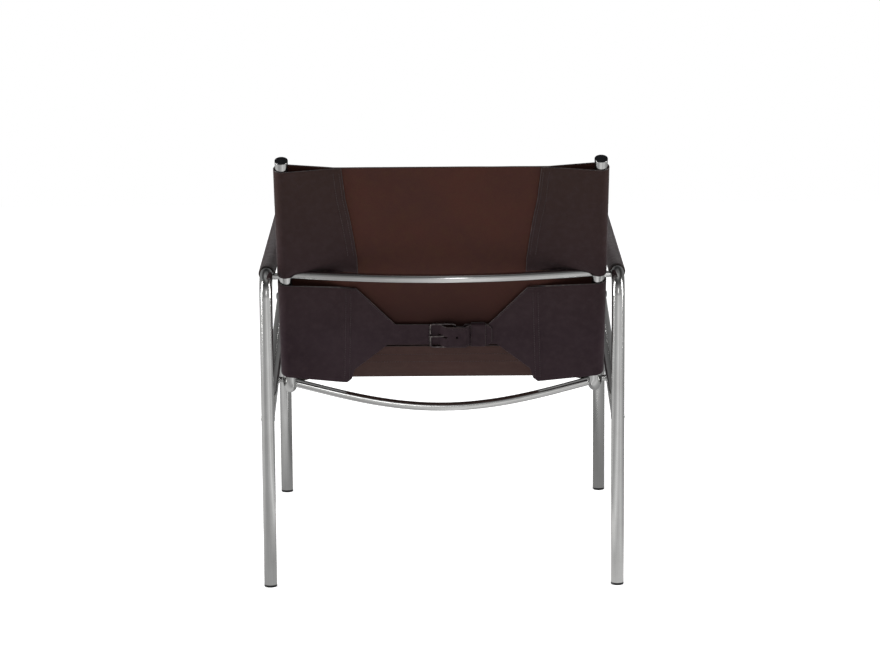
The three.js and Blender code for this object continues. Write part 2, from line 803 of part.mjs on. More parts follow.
// The prong: an eye round the buckle's bar and a straight wire that rests on the far side
function prong(plane, centre, drop) {
  const bore = buckleWire / 2 + gap;
  const eye = circle(bore + prongEyeWall, tubeSides);
  eye.holes.push(circle(bore, tubeSides, THREE.Path));
  const atBar = (along) => onPlane(plane, -buckleBar, along, barOut + drop);
  const ring = sweep(eye, straightPath(atBar(centre - prongEyeWidth / 2), atBar(centre + prongEyeWidth / 2)));
  const startX = -buckleBar + bore + prongEyeWall / 2;
  const start = onPlane(plane, startX, centre, barOut + prongEyeWall / 2 + drop);
  const restOut = barOut + buckleWire / 2 + gap + prongWire / 2;
  const tipX = buckleLength - buckleBar + prongTipReach;
  const tip = onPlane(plane, tipX, centre, restOut + gap + drop);
  return join([ring, rod(start, tip, prongWire / 2, smallSides)]);
}

// The keeper: a short leather loop round the strap and the tongue's end
function keeper(plane, centre, drop) {
  const innerHalf = strapWidth / 2 + gap;
  const low = beltOut - hide / 2 - gap;
  const high = beltOut + level + hide / 2 + gap;
  const box = (half, bottom, top, Kind) => {
    const outline = new Kind();
    outline.moveTo(-half, bottom);
    outline.lineTo(half, bottom);
    outline.lineTo(half, top);
    outline.lineTo(-half, top);
    outline.closePath();
    return outline;
  };
  const outline = box(innerHalf + keeperHide, low - keeperHide, high + keeperHide, THREE.Shape);
  outline.holes.push(box(innerHalf, low, high, THREE.Path));
  const ring = new THREE.ExtrudeGeometry(outline, { depth: keeperLength, bevelEnabled: false });
  const across = new THREE.Vector3().crossVectors(plane.along, plane.outward);
  ring.applyMatrix4(new THREE.Matrix4().makeBasis(plane.along, plane.outward, across));
  const start = across.x < 0 ? -keeperNear : -keeperNear - keeperLength;
  const at = onPlane(plane, start, centre, drop);
  ring.translate(at.x, at.y, at.z);
  return ring;
}

function addBelt(name, plane, flap, centre, drop, place) {
  add(`${name}_belt_tongue`, tongue(plane, flap, centre, drop, place), grainLeather);
  add(`${name}_belt_strap`, buckleStrap(plane, flap, centre, drop, place), grainLeather);
  add(`${name}_belt_keeper`, keeper(plane, centre, drop), grainLeather);
  add(`${name}_buckle_frame`, buckleFrame(plane, centre, drop), darkMetal);
  add(`${name}_buckle_prong`, prong(plane, centre, drop), darkMetal);
}

addBelt("back", backPlane, lowerFlap, backStrapUp, 0, placeBack);
addBelt("seat", seatPlane, underFlap, seatStrapForward, seatSag, placeSeat);

// Arm sleeves: leather tubes on the straight of the arms, notched at the spacers
for (const [side, sign] of [["left", 1], ["right", -1]]) {
  const x = sign * sideX;
  const [rear, front] = [-bendRadius - gap, bendRadius + gap - legDepth];
  const path = straightPath(new THREE.Vector3(x, rear, armHeight), new THREE.Vector3(x, front, armHeight));
  const inner = tubeRadius + gap;
  const sleeve = tube(path, inner + armHide, inner, tubeSides);
  const spacerAt = onPlane(backPlane, 0, armSpacerUp, 0);
  const notchEnd = spacerAt.y - spacerDiameter / 2 - armHide;
  const notch = new THREE.BoxGeometry(tubeDiameter, 2 * (rear - notchEnd), sleeveNotch);
  notch.translate(x - sign * tubeDiameter / 2, rear, spacerAt.z);
  add(`arm_sleeve_${side}`, cut(sleeve, [notch]), grainLeather);
}

// The origin goes under the middle of the chair's box
const rearEdge = onPlane(backPlane, 0, postLength + gap + capRim, tubeRadius).y;
const frontEdge = onPlane(seatPlane, 0, seatRailLength + gap + capRim, tubeRadius).y;
chair.position.y = -(rearEdge + frontEdge) / 2;

export default chair;
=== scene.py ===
"""Leather sling lounge chair: chromed tube frame, saddle leather sling and two buckled belts.

Every surface is worked out with numpy in millimetres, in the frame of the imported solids, and is put
into a mesh in metres. The chair faces -Y, its left is +X and +Z is up.
"""

from __future__ import annotations

import logging
import math
from collections.abc import Callable, Sequence
from dataclasses import dataclass
from enum import Enum

import bmesh
import bpy
import numpy as np
from mathutils import Matrix, Vector

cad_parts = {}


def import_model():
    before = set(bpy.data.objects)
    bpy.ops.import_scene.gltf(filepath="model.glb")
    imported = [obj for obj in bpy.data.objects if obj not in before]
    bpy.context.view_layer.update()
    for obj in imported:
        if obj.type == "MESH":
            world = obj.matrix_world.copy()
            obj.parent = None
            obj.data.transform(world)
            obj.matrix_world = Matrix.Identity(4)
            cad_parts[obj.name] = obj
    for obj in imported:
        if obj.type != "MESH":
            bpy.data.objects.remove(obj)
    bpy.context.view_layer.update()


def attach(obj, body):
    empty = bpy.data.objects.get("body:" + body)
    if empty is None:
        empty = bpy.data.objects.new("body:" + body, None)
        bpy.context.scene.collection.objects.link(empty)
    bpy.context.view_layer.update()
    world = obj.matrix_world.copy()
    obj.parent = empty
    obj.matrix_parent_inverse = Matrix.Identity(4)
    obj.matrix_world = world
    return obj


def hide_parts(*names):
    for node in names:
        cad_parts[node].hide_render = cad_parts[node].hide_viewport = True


LOG = logging.getLogger("sling_chair")
MM = 0.001
X_AXIS = np.array([1.0, 0.0, 0.0])
Y_AXIS = np.array([0.0, 1.0, 0.0])
Z_AXIS = np.array([0.0, 0.0, 1.0])
SIDES = (("left", 1), ("right", -1))
TINY = 1e-12
MERGE_DISTANCE = 1e-6
COLLAPSE_DISTANCE = 1e-7
ROUND_STEPS = np.array([0.0, 0.3, 0.7, 1.0])
CORNER_ROOM = 2.2

Array = np.ndarray
Place = Callable[[Array, Array, Array], Array]
Material = bpy.types.Material
Socket = bpy.types.NodeSocket


# Sizes and planes


@dataclass(frozen=True)
class Plane:
    """A plane of the sling: along runs with the tubes and outward points away from the sitter."""

    corner: Array
    along: Array
    outward: Array

    def at(self, x: Array | float, along: Array | float, out: Array | float) -> Array:
        """Returns points at x across, along the tubes and out of the plane, in millimetres."""
        x, along, out = np.broadcast_arrays(*(np.asarray(v, float) for v in (x, along, out)))
        return (
            self.corner
            + x[..., None] * X_AXIS
            + along[..., None] * self.along
            + out[..., None] * self.outward
        )


@dataclass(frozen=True)
class FrameSizes:
    """Sizes of the steel frame in millimetres, the same as those of the solids."""

    tube_radius: float = 12.0
    wall: float = 2.0
    bend: float = 38.0
    side_x: float = 320.0
    sling_x: float = 285.5
    leg_depth: float = 715.0
    arm_height: float = 580.0
    corner_depth: float = 150.0
    corner_height: float = 338.0
    bolt_height: float = 408.0
    rail_below_corner: float = 22.0
    rail_above_bolt: float = 13.0
    recline: float = math.radians(24.0)
    post_length: float = 507.0
    rail_overhang: float = 19.0
    bar_radius: float = 8.0
    back_bow: float = 53.0
    seat_bow: float = 50.0
    back_bar_up: float = 262.0
    rear_bar_forward: float = 12.0
    bar_room: float = 15.0
    front_flap: float = 110.0
    seat_inset: float = 14.0
    spacer_radius: float = 6.0
    arm_spacer_up: float = 258.0
    rear_spacer_forward: float = 56.0
    cap_rim: float = 1.5
    glide_height: float = 4.0
    bolt_cap_radius: float = 7.5
    bolt_cap_height: float = 4.0
    gap: float = 0.3

    @property
    def slope(self) -> float:
        """The rise of the seat rails, in radians."""
        return math.atan((self.bolt_height - self.corner_height) / (self.leg_depth - self.corner_depth))

    @property
    def bolt_along(self) -> float:
        """The way from the corner to the bolt, along the seat rail."""
        return (self.leg_depth - self.corner_depth) / math.cos(self.slope)

    @property
    def rail_length(self) -> float:
        """The way from the corner to the end of the seat rail."""
        return self.bolt_along + self.rail_overhang

    @property
    def seat_end(self) -> float:
        """The front edge of the seat leather, along the seat rail."""
        return self.bolt_along - self.seat_inset

    @property
    def front_bar_forward(self) -> float:
        """The way from the corner to the front crossbar."""
        return self.seat_end - self.front_flap - self.bar_room

    @property
    def rear_y(self) -> float:
        """Where the rear legs stand: the origin is under the middle of the chair's box."""
        sin, cos = math.sin(self.recline), math.cos(self.recline)
        reach = self.gap + self.cap_rim
        rear = (self.post_length + reach) * sin + self.tube_radius * cos
        front = (self.rail_length + reach) * math.cos(self.slope) + self.tube_radius * math.sin(self.slope)
        return self.corner_depth - (rear - front) / 2

    @property
    def corner(self) -> Array:
        """The corner of the sling, in the middle of the chair."""
        return np.array([0.0, self.rear_y - self.corner_depth, self.corner_height])

    @property
    def back(self) -> Plane:
        """The plane of the posts."""
        sin, cos = math.sin(self.recline), math.cos(self.recline)
        return Plane(self.corner, np.array([0.0, sin, cos]), np.array([0.0, cos, -sin]))

    @property
    def seat(self) -> Plane:
        """The plane of the seat rails."""
        sin, cos = math.sin(self.slope), math.cos(self.slope)
        return Plane(self.corner, np.array([0.0, -cos, sin]), np.array([0.0, -sin, -cos]))


SIZES = FrameSizes()


# Meshes


@dataclass
class Patch:
    """Points in millimetres, faces as rows of four indices, and each face's material number."""

    points: Array
    quads: Array
    slots: Array


def grid_faces(rows: int, columns: int, close_rows: bool = False, close_columns: bool = False) -> Array:
    # No painted shade on the seat's flesh: it is gone above 1 cm.
    """Faces of a grid of points, row by row.

    Args:
        rows: Number of rows of points.
        columns: Number of points in a row.
        close_rows: Joins the last row to the first.
        close_columns: Joins each row's last point to its first.

    Returns:
        Rows of four indices, one for each face.
    """
    i = np.arange(rows if close_rows else rows - 1)[:, None]
    j = np.arange(columns if close_columns else columns - 1)[None, :]
    i2, j2 = (i + 1) % rows, (j + 1) % columns
    corners = [i * columns + j, i2 * columns + j, i2 * columns + j2, i * columns + j2]
    return np.stack([c + 0 * (i + j) for c in corners], axis=-1).reshape(-1, 4)


def joined(patches: Sequence[Patch]) -> Patch:
    """Returns one patch that holds all the patches."""
    starts = np.cumsum([0] + [len(p.points) for p in patches[:-1]])
    return Patch(
        np.concatenate([p.points for p in patches]),
        np.concatenate([p.quads + start for p, start in zip(patches, starts)]),
        np.concatenate([p.slots for p in patches]),
    )


def make_piece(
    name: str,
    patch: Patch,
    materials: Sequence[Material],
    replaces: Sequence[str] = (),
    body: str = "frame",
    sharp: float = 40.0,
) -> bpy.types.Object:
    """Puts a patch into a mesh object that stands for its solids and moves with its body.

    Args:
        name: The piece's name.
        patch: Closed surface, in millimetres.
        materials: The materials that the patch's numbers name.
        replaces: The solids that this piece stands for.
        body: The body that it moves with.
        sharp: Edges that turn by more degrees than this stay crisp.

    Returns:
        The object.
    """
    mesh = bpy.data.meshes.new(name)
    faces = len(patch.quads)
    mesh.vertices.add(len(patch.points))
    mesh.vertices.foreach_set("co", (patch.points * MM).astype(np.float32).ravel())
    mesh.loops.add(4 * faces)
    mesh.loops.foreach_set("vertex_index", patch.quads.astype(np.int32).ravel())
    mesh.polygons.add(faces)
    mesh.polygons.foreach_set("loop_start", np.arange(0, 4 * faces, 4, dtype=np.int32))
    mesh.polygons.foreach_set("material_index", patch.slots.astype(np.int32))
    mesh.update(calc_edges=True)
    for material in materials:
        mesh.materials.append(material)
    seal(mesh)
    mesh.shade_smooth()
    mesh.set_sharp_from_angle(angle=math.radians(sharp))
    piece = bpy.data.objects.new(name, mesh)
    bpy.context.scene.collection.objects.link(piece)
    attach(piece, body)
    if replaces:
        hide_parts(*replaces)
    LOG.info("%s: %d faces", name, len(mesh.polygons))
    return piece


def seal(mesh: bpy.types.Mesh) -> None:
    """Closes a mesh at its rims and poles: merges points that coincide and turns the faces out.

    Args:
        mesh: The mesh to change.
    """
    work = bmesh.new()
    work.from_mesh(mesh)
    bmesh.ops.remove_doubles(work, verts=work.verts, dist=MERGE_DISTANCE)
    bmesh.ops.dissolve_degenerate(work, edges=work.edges, dist=COLLAPSE_DISTANCE)
    bmesh.ops.recalc_face_normals(work, faces=work.faces)
    work.to_mesh(mesh)
    work.free()


def unit(vectors: Array) -> Array:
    """Returns the vectors at length one."""
    return vectors / np.maximum(np.linalg.norm(vectors, axis=-1, keepdims=True), TINY)


def smoothed(values: Array, window: int) -> Array:
    """Returns values as a running mean along the first axis, with the two ends kept.

    Args:
        values: One value or point a row.
        window: Number of rows in the mean, made odd.
    """
    half = window // 2
    columns = values.reshape(len(values), -1)
    head = 2 * columns[:1] - columns[half:0:-1]
    tail = 2 * columns[-1:] - columns[-2 : -half - 2 : -1]
    padded = np.concatenate([head, columns, tail])
    kernel = np.ones(2 * half + 1) / (2 * half + 1)
    mean = np.stack([np.convolve(column, kernel, "valid") for column in padded.T], axis=-1)
    return mean.reshape(values.shape)


def run_of(line: Array) -> Array:
    """Returns the length along a polyline at each of its points."""
    return np.concatenate([[0.0], np.cumsum(np.linalg.norm(np.diff(line, axis=0), axis=1))])


def sampled(line: Array, run: Array, at: Array | float) -> Array:
    """Returns a polyline's points, or other rows that go with them, at distances along it.

    Args:
        line: The rows, one for each point.
        run: The length along the polyline at each point.
        at: The wanted distances.
    """
    return np.stack([np.interp(at, run, column) for column in line.T], axis=-1)


def resampled(line: Array, step: float) -> Array:
    """Returns a polyline's points at even steps along it, with both ends kept.

    Args:
        line: Points, one a row.
        step: The wanted spacing.
    """
    run = run_of(line)
    return sampled(line, run, np.linspace(0.0, run[-1], max(2, int(round(run[-1] / step)) + 1)))


# Tubes, rods and turned pieces


@dataclass(frozen=True)
class Path:
    """A path in one plane: its points, its tangents and the plane's normal."""

    points: Array
    tangents: Array
    normal: Array

    @staticmethod
    def bent(corners: Sequence[Array], radius: float, normal: Array, steps: int = 28) -> Path:
        """Joins corner points by straight runs with an arc of the radius at each inner corner.

        Args:
            corners: The corner points.
            radius: The radius of the bends.
            normal: The normal of the plane that the corners lie in.
            steps: Number of steps in a bend.
        """
        points, tangents = [corners[0][None]], [unit(corners[1] - corners[0])[None]]
        for before, here, after in zip(corners[:-2], corners[1:-1], corners[2:]):
            a, b = unit(here - before), unit(after - here)
            turn = math.acos(float(np.clip(a @ b, -1, 1)))
            start = here - a * radius * math.tan(turn / 2)
            inward = unit(b - a * (a @ b))
            angle = np.linspace(0, turn, steps + 1)[:, None]
            points.append(start + inward * radius * (1 - np.cos(angle)) + a * radius * np.sin(angle))
            tangents.append(a * np.cos(angle) + inward * np.sin(angle))
        points.append(corners[-1][None])
        tangents.append(unit(corners[-1] - corners[-2])[None])
        return Path(np.concatenate(points), np.concatenate(tangents), normal)

    @staticmethod
    def straight(start: Array, end: Array, normal: Array, steps: int = 1) -> Path:
        """Returns a straight path in even steps."""
        share = np.linspace(0, 1, steps + 1)[:, None]
        tangent = unit(end - start)
        return Path(start + (end - start) * share, np.repeat(tangent[None], steps + 1, 0), normal)

    def rings(self, radius: Array | float, sides: int, shift: Array | float = 0.0) -> Array:
        """Circles round the path.

        Args:
            radius: The radius at each point.
            sides: Number of points in a circle.
            shift: How far each circle moves along the path's tangent.

        Returns:
            Points, one row of circle points for each path point: centre + radius times
            (cosine times the plane's normal + sine times tangent cross normal).
        """
        count = len(self.points)
        radius = np.broadcast_to(np.asarray(radius, float), (count,))[:, None, None]
        shift = np.broadcast_to(np.asarray(shift, float), (count,))[:, None, None]
        angle = np.linspace(0, 2 * math.pi, sides, endpoint=False)[None, :, None]
        aside = np.cross(self.tangents, self.normal)[:, None, :]
        ring = np.cos(angle) * self.normal + np.sin(angle) * aside
        return self.points[:, None, :] + shift * self.tangents[:, None, :] + radius * ring


def plain_slots(quads: Array, number: int = 0) -> Array:
    """Returns the same material number for every face."""
    return np.full(len(quads), number)


def ring_patch(rings: Array, close_rows: bool = False) -> Patch:
    """Returns the surface through rings of points, closed round each ring."""
    rows, columns = rings.shape[:2]
    quads = grid_faces(rows, columns, close_rows, True)
    return Patch(rings.reshape(-1, 3), quads, plain_slots(quads))


def capped(rings: Array) -> Patch:
    """Returns the surface through rings of points, with the first and last ring closed to their middles."""
    first, last = (np.broadcast_to(ring.mean(0), ring.shape)[None] for ring in (rings[0], rings[-1]))
    return ring_patch(np.concatenate([first, rings, last]))


def tube_shell(path: Path, outer: float, inner: float, sides: int = 48, rim: float = 0.5) -> Patch:
    """A tube with its wall: the outer surface, a rounded rim at each end and the bore.

    Args:
        path: The tube's middle line.
        outer: Outer radius.
        inner: Radius of the bore.
        sides: Number of faces round the tube.
        rim: Radius of the rim's rounded edge.
    """
    turn = ROUND_STEPS * math.pi / 2
    ends = []
    for index, sign in ((0, 1), (-1, -1)):
        point, way = (np.repeat(line[index][None], len(turn), 0) for line in (path.points, path.tangents))
        here = Path(point, way, path.normal)
        ends.append(here.rings(outer - rim * (1 - np.cos(turn)), sides, sign * rim * (1 - np.sin(turn))))
    outside = path.rings(outer, sides)[1:-1] if len(path.points) > 2 else path.rings(outer, sides)[:0]
    bore = path.rings(inner, sides)
    rows = np.concatenate([ends[0][::-1], outside, ends[1], bore[::-1]])
    return ring_patch(rows, close_rows=True)


def turned(profile: Sequence[tuple[float, float]], at: Array, axis: Array, sides: int = 48) -> Patch:
    """A piece turned on a lathe.

    Args:
        profile: (radius, height) pairs, from the axis round to the axis again.
        at: The point at height zero.
        axis: The way that height runs.
        sides: Number of faces round the axis.
    """
    axis = unit(np.asarray(axis, float))
    aside = unit(np.cross(axis, Z_AXIS if abs(axis[2]) < 0.9 else X_AXIS))
    radius, height = np.array(profile, float).T
    points = at + height[:, None] * axis
    return ring_patch(Path(points, np.repeat(axis[None], len(points), 0), aside).rings(radius, sides))


def rounded_profile(profile: Sequence[tuple[float, float]], radius: float, steps: int = 4) -> Array:
    """Returns a profile with each inner corner replaced by a small arc-like curve.

    Args:
        profile: The corner points.
        radius: How far before and after a corner the curve runs, at most.
        steps: Number of steps in each curve.
    """
    points = np.array(profile, float)
    rounded = [points[:1]]
    share = np.linspace(0, 1, steps + 1)[:, None]
    for before, here, after in zip(points[:-2], points[1:-1], points[2:]):
        a, b = before - here, after - here
        reach = min(radius, np.linalg.norm(a) / CORNER_ROOM, np.linalg.norm(b) / CORNER_ROOM)
        start, end = here + unit(a) * reach, here + unit(b) * reach
        rounded.append((1 - share) ** 2 * start + 2 * share * (1 - share) * here + share**2 * end)
    rounded.append(points[-1:])
    return np.concatenate(rounded)


def to_cylinder(points: Array, way: Array, centre: Array, axis: Array, radius: float) -> Array:
    """Moves points along a direction onto a cylinder, on the side that they come from.

    Args:
        points: The points to move.
        way: The direction, of length one.
        centre: A point on the cylinder's axis.
        axis: The cylinder's axis, of length one.
        radius: The cylinder's radius.

    Returns:
        The moved points: the nearer root of |p + t way - axis| = radius.
    """
    offset = points - centre
    offset = offset - (offset @ axis)[..., None] * axis
    flat = way - (way @ axis) * axis
    a = flat @ flat
    b = offset @ flat
    c = (offset * offset).sum(-1) - radius**2
    root = np.sqrt(np.maximum(b * b - a * c, 0.0))
    return points + ((-b - root) / a)[..., None] * way


def bead(curve: Array, radius: float, sides: int = 10) -> Patch:
    """A closed ring of round section along a closed curve: a weld bead or a bent wire.

    Args:
        curve: The closed curve's points.
        radius: The section's radius.
        sides: Number of faces round the section.
    """
    ahead = unit(np.roll(curve, -1, 0) - np.roll(curve, 1, 0))
    middle = curve.mean(0)
    outward = unit(curve - middle)
    aside = unit(np.cross(ahead, outward))
    outward = np.cross(aside, ahead)
    angle = np.linspace(0, 2 * math.pi, sides, endpoint=False)[None, :, None]
    rings = curve[:, None] + radius * (np.cos(angle) * outward[:, None] + np.sin(angle) * aside[:, None])
    return ring_patch(rings, close_rows=True)


# Finishes


def linear(code: str) -> tuple[float, float, float, float]:
    """Returns an sRGB hex colour as linear red, green and blue, with alpha 1."""
    parts = [int(code[i : i + 2], 16) / 255 for i in (0, 2, 4)]
    red, green, blue = (c / 12.92 if c <= 0.04045 else ((c + 0.055) / 1.055) ** 2.4 for c in parts)
    return red, green, blue, 1.0


def add_node(
    tree: bpy.types.NodeTree, kind: str, inputs: dict[str | int, object] | None = None, **settings: object
) -> bpy.types.Node:
    """Adds a shader node.

    Args:
        tree: The node tree.
        kind: The node's type, without its first word Shader and Node.
        inputs: Values, or sockets to link, by input name or number.
        settings: The node's own properties.

    Returns:
        The node.
    """
    made = tree.nodes.new(f"ShaderNode{kind}")
    for key, value in settings.items():
        setattr(made, key, value)
    for key, value in (inputs or {}).items():
        if isinstance(value, Socket):
            tree.links.new(value, made.inputs[key])
        else:
            made.inputs[key].default_value = value
    return made


def math_node(tree: bpy.types.NodeTree, operation: str, first: object, second: object) -> Socket:
    """Returns the result of a Math node, for values or sockets."""
    return add_node(tree, "Math", {0: first, 1: second}, operation=operation).outputs[0]


class Finish:
    """A material under way: its node tree, its Principled shader and its Object coordinates."""

    def __init__(self, name: str) -> None:
        """Makes an empty material with a Principled shader.

        Args:
            name: The material's name.
        """
        self.material = bpy.data.materials.new(name)
        self.material.use_nodes = True
        self.tree = self.material.node_tree
        self.tree.nodes.clear()
        self.shader = add_node(self.tree, "BsdfPrincipled")
        add_node(self.tree, "OutputMaterial", {"Surface": self.shader.outputs["BSDF"]})
        self.place = add_node(self.tree, "TexCoord").outputs["Object"]

    def noise(self, size: float, detail: float = 3.0, rough: float = 0.5, place: object = None) -> Socket:
        """Returns a noise whose lumps are about size millimetres across."""
        inputs = {"Vector": place or self.place, "Scale": 1000.0 / size, "Detail": detail, "Roughness": rough}
        return add_node(self.tree, "TexNoise", inputs).outputs[0]

    def cells(self, size: float, place: object = None) -> Socket:
        """Returns the distance to the middle of cells about size millimetres across, from 0 to 1."""
        inputs = {"Vector": place or self.place, "Scale": 1000.0 / size}
        return add_node(self.tree, "TexVoronoi", inputs).outputs["Distance"]

    def ramp(self, value: object, low: float, high: float, start: float = 0.3, end: float = 0.7) -> Socket:
        """Returns low where the value is at start or less, high at end or more, and even between."""
        inputs = {"Value": value, "From Min": start, "From Max": end, "To Min": low, "To Max": high}
        return add_node(self.tree, "MapRange", inputs).outputs[0]

    def mix(self, share: object, first: object, second: object) -> Socket:
        """Returns a colour that goes from the first to the second, each a hex code or a socket."""
        first, second = (linear(c) if isinstance(c, str) else c for c in (first, second))
        return add_node(self.tree, "Mix", {0: share, 6: first, 7: second}, data_type="RGBA").outputs[2]

    def bump(self, height: object, depth: float, strength: float, under: object = None) -> Socket:
        """Returns a normal roughened by a height of the depth in millimetres."""
        inputs = {"Height": height, "Distance": depth * MM, "Strength": strength}
        if under is not None:
            inputs["Normal"] = under
        return add_node(self.tree, "Bump", inputs).outputs[0]

    def finished(self, colour: object, roughness: object, normal: object, **constants: float) -> Material:
        """Links the shader and returns the material.

        Args:
            colour: The base colour's socket.
            roughness: The roughness's socket.
            normal: The normal's socket.
            constants: Values of the shader's own inputs, with _ for each space.
        """
        for name, socket in (("Base Color", colour), ("Roughness", roughness), ("Normal", normal)):
            self.tree.links.new(socket, self.shader.inputs[name])
        for name, value in constants.items():
            self.shader.inputs[name.replace("_", " ")].default_value = value
        return self.material


class Run(Enum):
    """The way that a tube's polishing marks run, as the stretch of the pattern along X, Y and Z."""

    ACROSS = (0.02, 1.0, 1.0)
    DEEP = (1.0, 0.02, 1.0)
    UP = (1.0, 1.0, 0.02)


@dataclass(frozen=True)
class Chrome:
    """Satin chrome on steel: a bright plating over a surface polished along the tube.

    The marks of the polishing are 0.05 mm wide. They are drawn 1.2 mm wide, so that they show as the soft
    lines that run along the tubes.
    """

    name: str = "satin_chrome"
    colour: str = "c6c6c5"
    shade: str = "b2b2b1"
    dulled: str = "9f9e9b"
    low: float = 0.1
    high: float = 0.2
    mark: float = 1.2
    cloud: float = 70.0

    def build(self, run: Run) -> Material:
        """Makes the finish for tubes that run one way.

        Args:
            run: The way that the marks run.
        """
        f = Finish(f"{self.name}_{run.name.lower()}")
        stretched = add_node(f.tree, "Mapping", {"Vector": f.place, "Scale": run.value}).outputs[0]
        marks = f.noise(self.mark, 4.0, place=stretched)
        dull = f.ramp(f.noise(self.cloud, 4.0, 0.6), 0.0, 0.35, 0.4, 0.75)
        tone = f.mix(dull, f.mix(marks, self.colour, self.shade), self.dulled)
        return f.finished(tone, f.ramp(marks, self.low, self.high), f.bump(marks, 0.05, 0.12), Metallic=1.0)


@dataclass(frozen=True)
class DarkSteel:
    """Burnished nickel on steel wire, as on buckles: dark in its hollows, bright where leather rubs it."""

    name: str = "burnished_nickel"
    colour: str = "3d3738"
    rubbed: str = "6f6867"
    low: float = 0.2
    high: float = 0.36
    rub: float = 6.0
    pit: float = 0.9

    def build(self) -> Material:
        """Makes the finish. The pits are drawn 0.9 mm wide, about twice the real size."""
        f = Finish(self.name)
        rubs = f.noise(self.rub, 5.0, 0.65)
        pits = f.noise(self.pit, 2.0)
        tone = f.mix(f.ramp(rubs, 0.0, 1.0, 0.42, 0.68), self.colour, self.rubbed)
        return f.finished(tone, f.ramp(rubs, self.high, self.low), f.bump(pits, 0.06, 0.25), Metallic=1.0)


@dataclass(frozen=True)
class Plastic:
    """Black polyethylene, injection moulded with a fine spark-eroded texture and scuffed in use."""

    name: str = "moulded_polyethylene"
    colour: str = "101012"
    scuffed: str = "1c1c1e"
    low: float = 0.4
    high: float = 0.6
    grit: float = 0.8
    scuff: float = 9.0

    def build(self) -> Material:
        """Makes the finish. The grit is 0.3 mm and is drawn 0.8 mm wide, as fine as the picture shows."""
        f = Finish(self.name)
        scuffs = f.noise(self.scuff, 5.0, 0.6)
        tone = f.mix(f.ramp(scuffs, 0.0, 1.0, 0.45, 0.75), self.colour, self.scuffed)
        normal = f.bump(f.noise(self.grit), 0.12, 0.35)
        return f.finished(tone, f.ramp(scuffs, self.low, self.high), normal, Specular_IOR_Level=0.2)


@dataclass(frozen=True)
class GrainLeather:
    """The grain side of drum-dyed saddle leather: close pores, fine creases and a waxed sheen.

    The pores are 0.4 mm apart. They are drawn 1.3 mm apart, so that they show. Slow clouds of tone come
    from the dye, and paler, smoother streaks from wear. Higher up, the colour goes to a paler, warmer brown.
    """

    name: str = "saddle_leather_grain"
    colour: str = "261a1f"
    pale: str = "2d2126"
    # A paler, warmer brown towards the top, and the heights in metres over which it comes in.
    faded: str = "31221d"
    fade: tuple[float, float] = (0.45, 0.78)
    worn: str = "35292c"
    pit: str = "150d0e"
    pore: float = 1.3
    crease: float = 12.0
    cloud: float = 90.0
    low: float = 0.48
    high: float = 0.68
    depth: float = 0.25
    gloss: float = 0.07
    sheen: float = 0.16

    def build(self) -> Material:
        """Makes the finish: cells for the pores, fine noise for the creases, clouds for dye and wear."""
        f = Finish(self.name)
        pores = f.cells(self.pore)
        creases = f.noise(self.crease, 7.0, 0.62)
        tone = f.mix(f.ramp(f.noise(self.cloud, 3.0), 0.0, 1.0), self.colour, self.pale)
        height = add_node(f.tree, "SeparateXYZ", {0: f.place}).outputs[2]
        # A paler, warmer brown, mixed in by height towards the top of the chair.
        tone = f.mix(f.ramp(height, 0.0, 0.85, *self.fade), tone, self.faded)
        tone = f.mix(f.ramp(creases, 0.0, 0.4, 0.45, 0.75), tone, self.worn)
        tone = f.mix(f.ramp(pores, 0.45, 0.0, 0.0, 0.32), tone, self.pit)
        normal = f.bump(creases, 0.5, 0.35, f.bump(pores, self.depth, 0.4))
        gloss = {"Specular_IOR_Level": self.gloss, "Sheen_Weight": self.sheen, "Sheen_Roughness": 0.35}
        return f.finished(tone, f.ramp(creases, self.high, self.low), normal, **gloss)


@dataclass(frozen=True)
class FleshLeather:
    """The flesh side of the same leather: a short brown nap, mottled where the fibres lie apart.

    The nap is darkened low on the back with painted shade, which stands for the shade that falls there. The
    fibres are finer than a tenth of a millimetre. They are drawn as lumps 1.6 mm across.
    """

    name: str = "saddle_leather_flesh"
    colour: str = "3d2521"
    red: str = "452720"
    pale: str = "422a20"
    dark: str = "2a1815"
    # Painted shade: a darker nap low on the back, and the heights in metres over which it fades out.
    painted_shade: str = "2a1816"
    painted_shade_heights: tuple[float, float] = (0.49, 0.58)
    fibre: float = 1.6
    mottle: float = 16.0
    cloud: float = 120.0
    low: float = 0.72
    high: float = 0.92
    gloss: float = 0.08

    def build(self) -> Material:
        """Makes the finish: fibres for the nap, blotches of paler and darker brown over them."""
        f = Finish(self.name)
        fibres = f.noise(self.fibre, 4.0, 0.7)
        blotches = f.noise(self.mottle, 5.0, 0.6)
        tone = f.mix(f.ramp(f.noise(self.cloud, 3.0), 0.0, 1.0), self.colour, self.red)
        tone = f.mix(f.ramp(blotches, 0.0, 0.7, 0.45, 0.7), tone, self.pale)
        height = add_node(f.tree, "SeparateXYZ", {0: f.place}).outputs[2]
        # Painted shade, darkening the nap low on the back.
        tone = f.mix(f.ramp(height, 0.8, 0.0, *self.painted_shade_heights), tone, self.painted_shade)
        tone = f.mix(f.ramp(fibres, 0.6, 0.0, 0.3, 0.5), tone, self.dark)
        normal = f.bump(blotches, 0.4, 0.3, f.bump(fibres, 0.3, 0.6))
        return f.finished(tone, f.ramp(fibres, self.low, self.high), normal, Specular_IOR_Level=self.gloss)


@dataclass(frozen=True)
class EdgeLeather:
    """The cut edge of the leather: dyed dark and rubbed smooth with wax, with its fibres just in sight."""

    name: str = "burnished_leather_edge"
    colour: str = "221a1b"
    rubbed: str = "4a3c38"
    fibre: float = 0.9

    def build(self) -> Material:
        """Makes the finish. The fibres are drawn 0.9 mm wide, about five times the real size."""
        f = Finish(self.name)
        fibres = f.noise(self.fibre, 3.0, 0.6)
        patches = f.noise(11.0, 4.0, 0.6)
        tone = f.mix(f.ramp(patches, 0.0, 0.8, 0.45, 0.7), self.colour, self.rubbed)
        return f.finished(tone, f.ramp(fibres, 0.35, 0.6), f.bump(fibres, 0.1, 0.4))


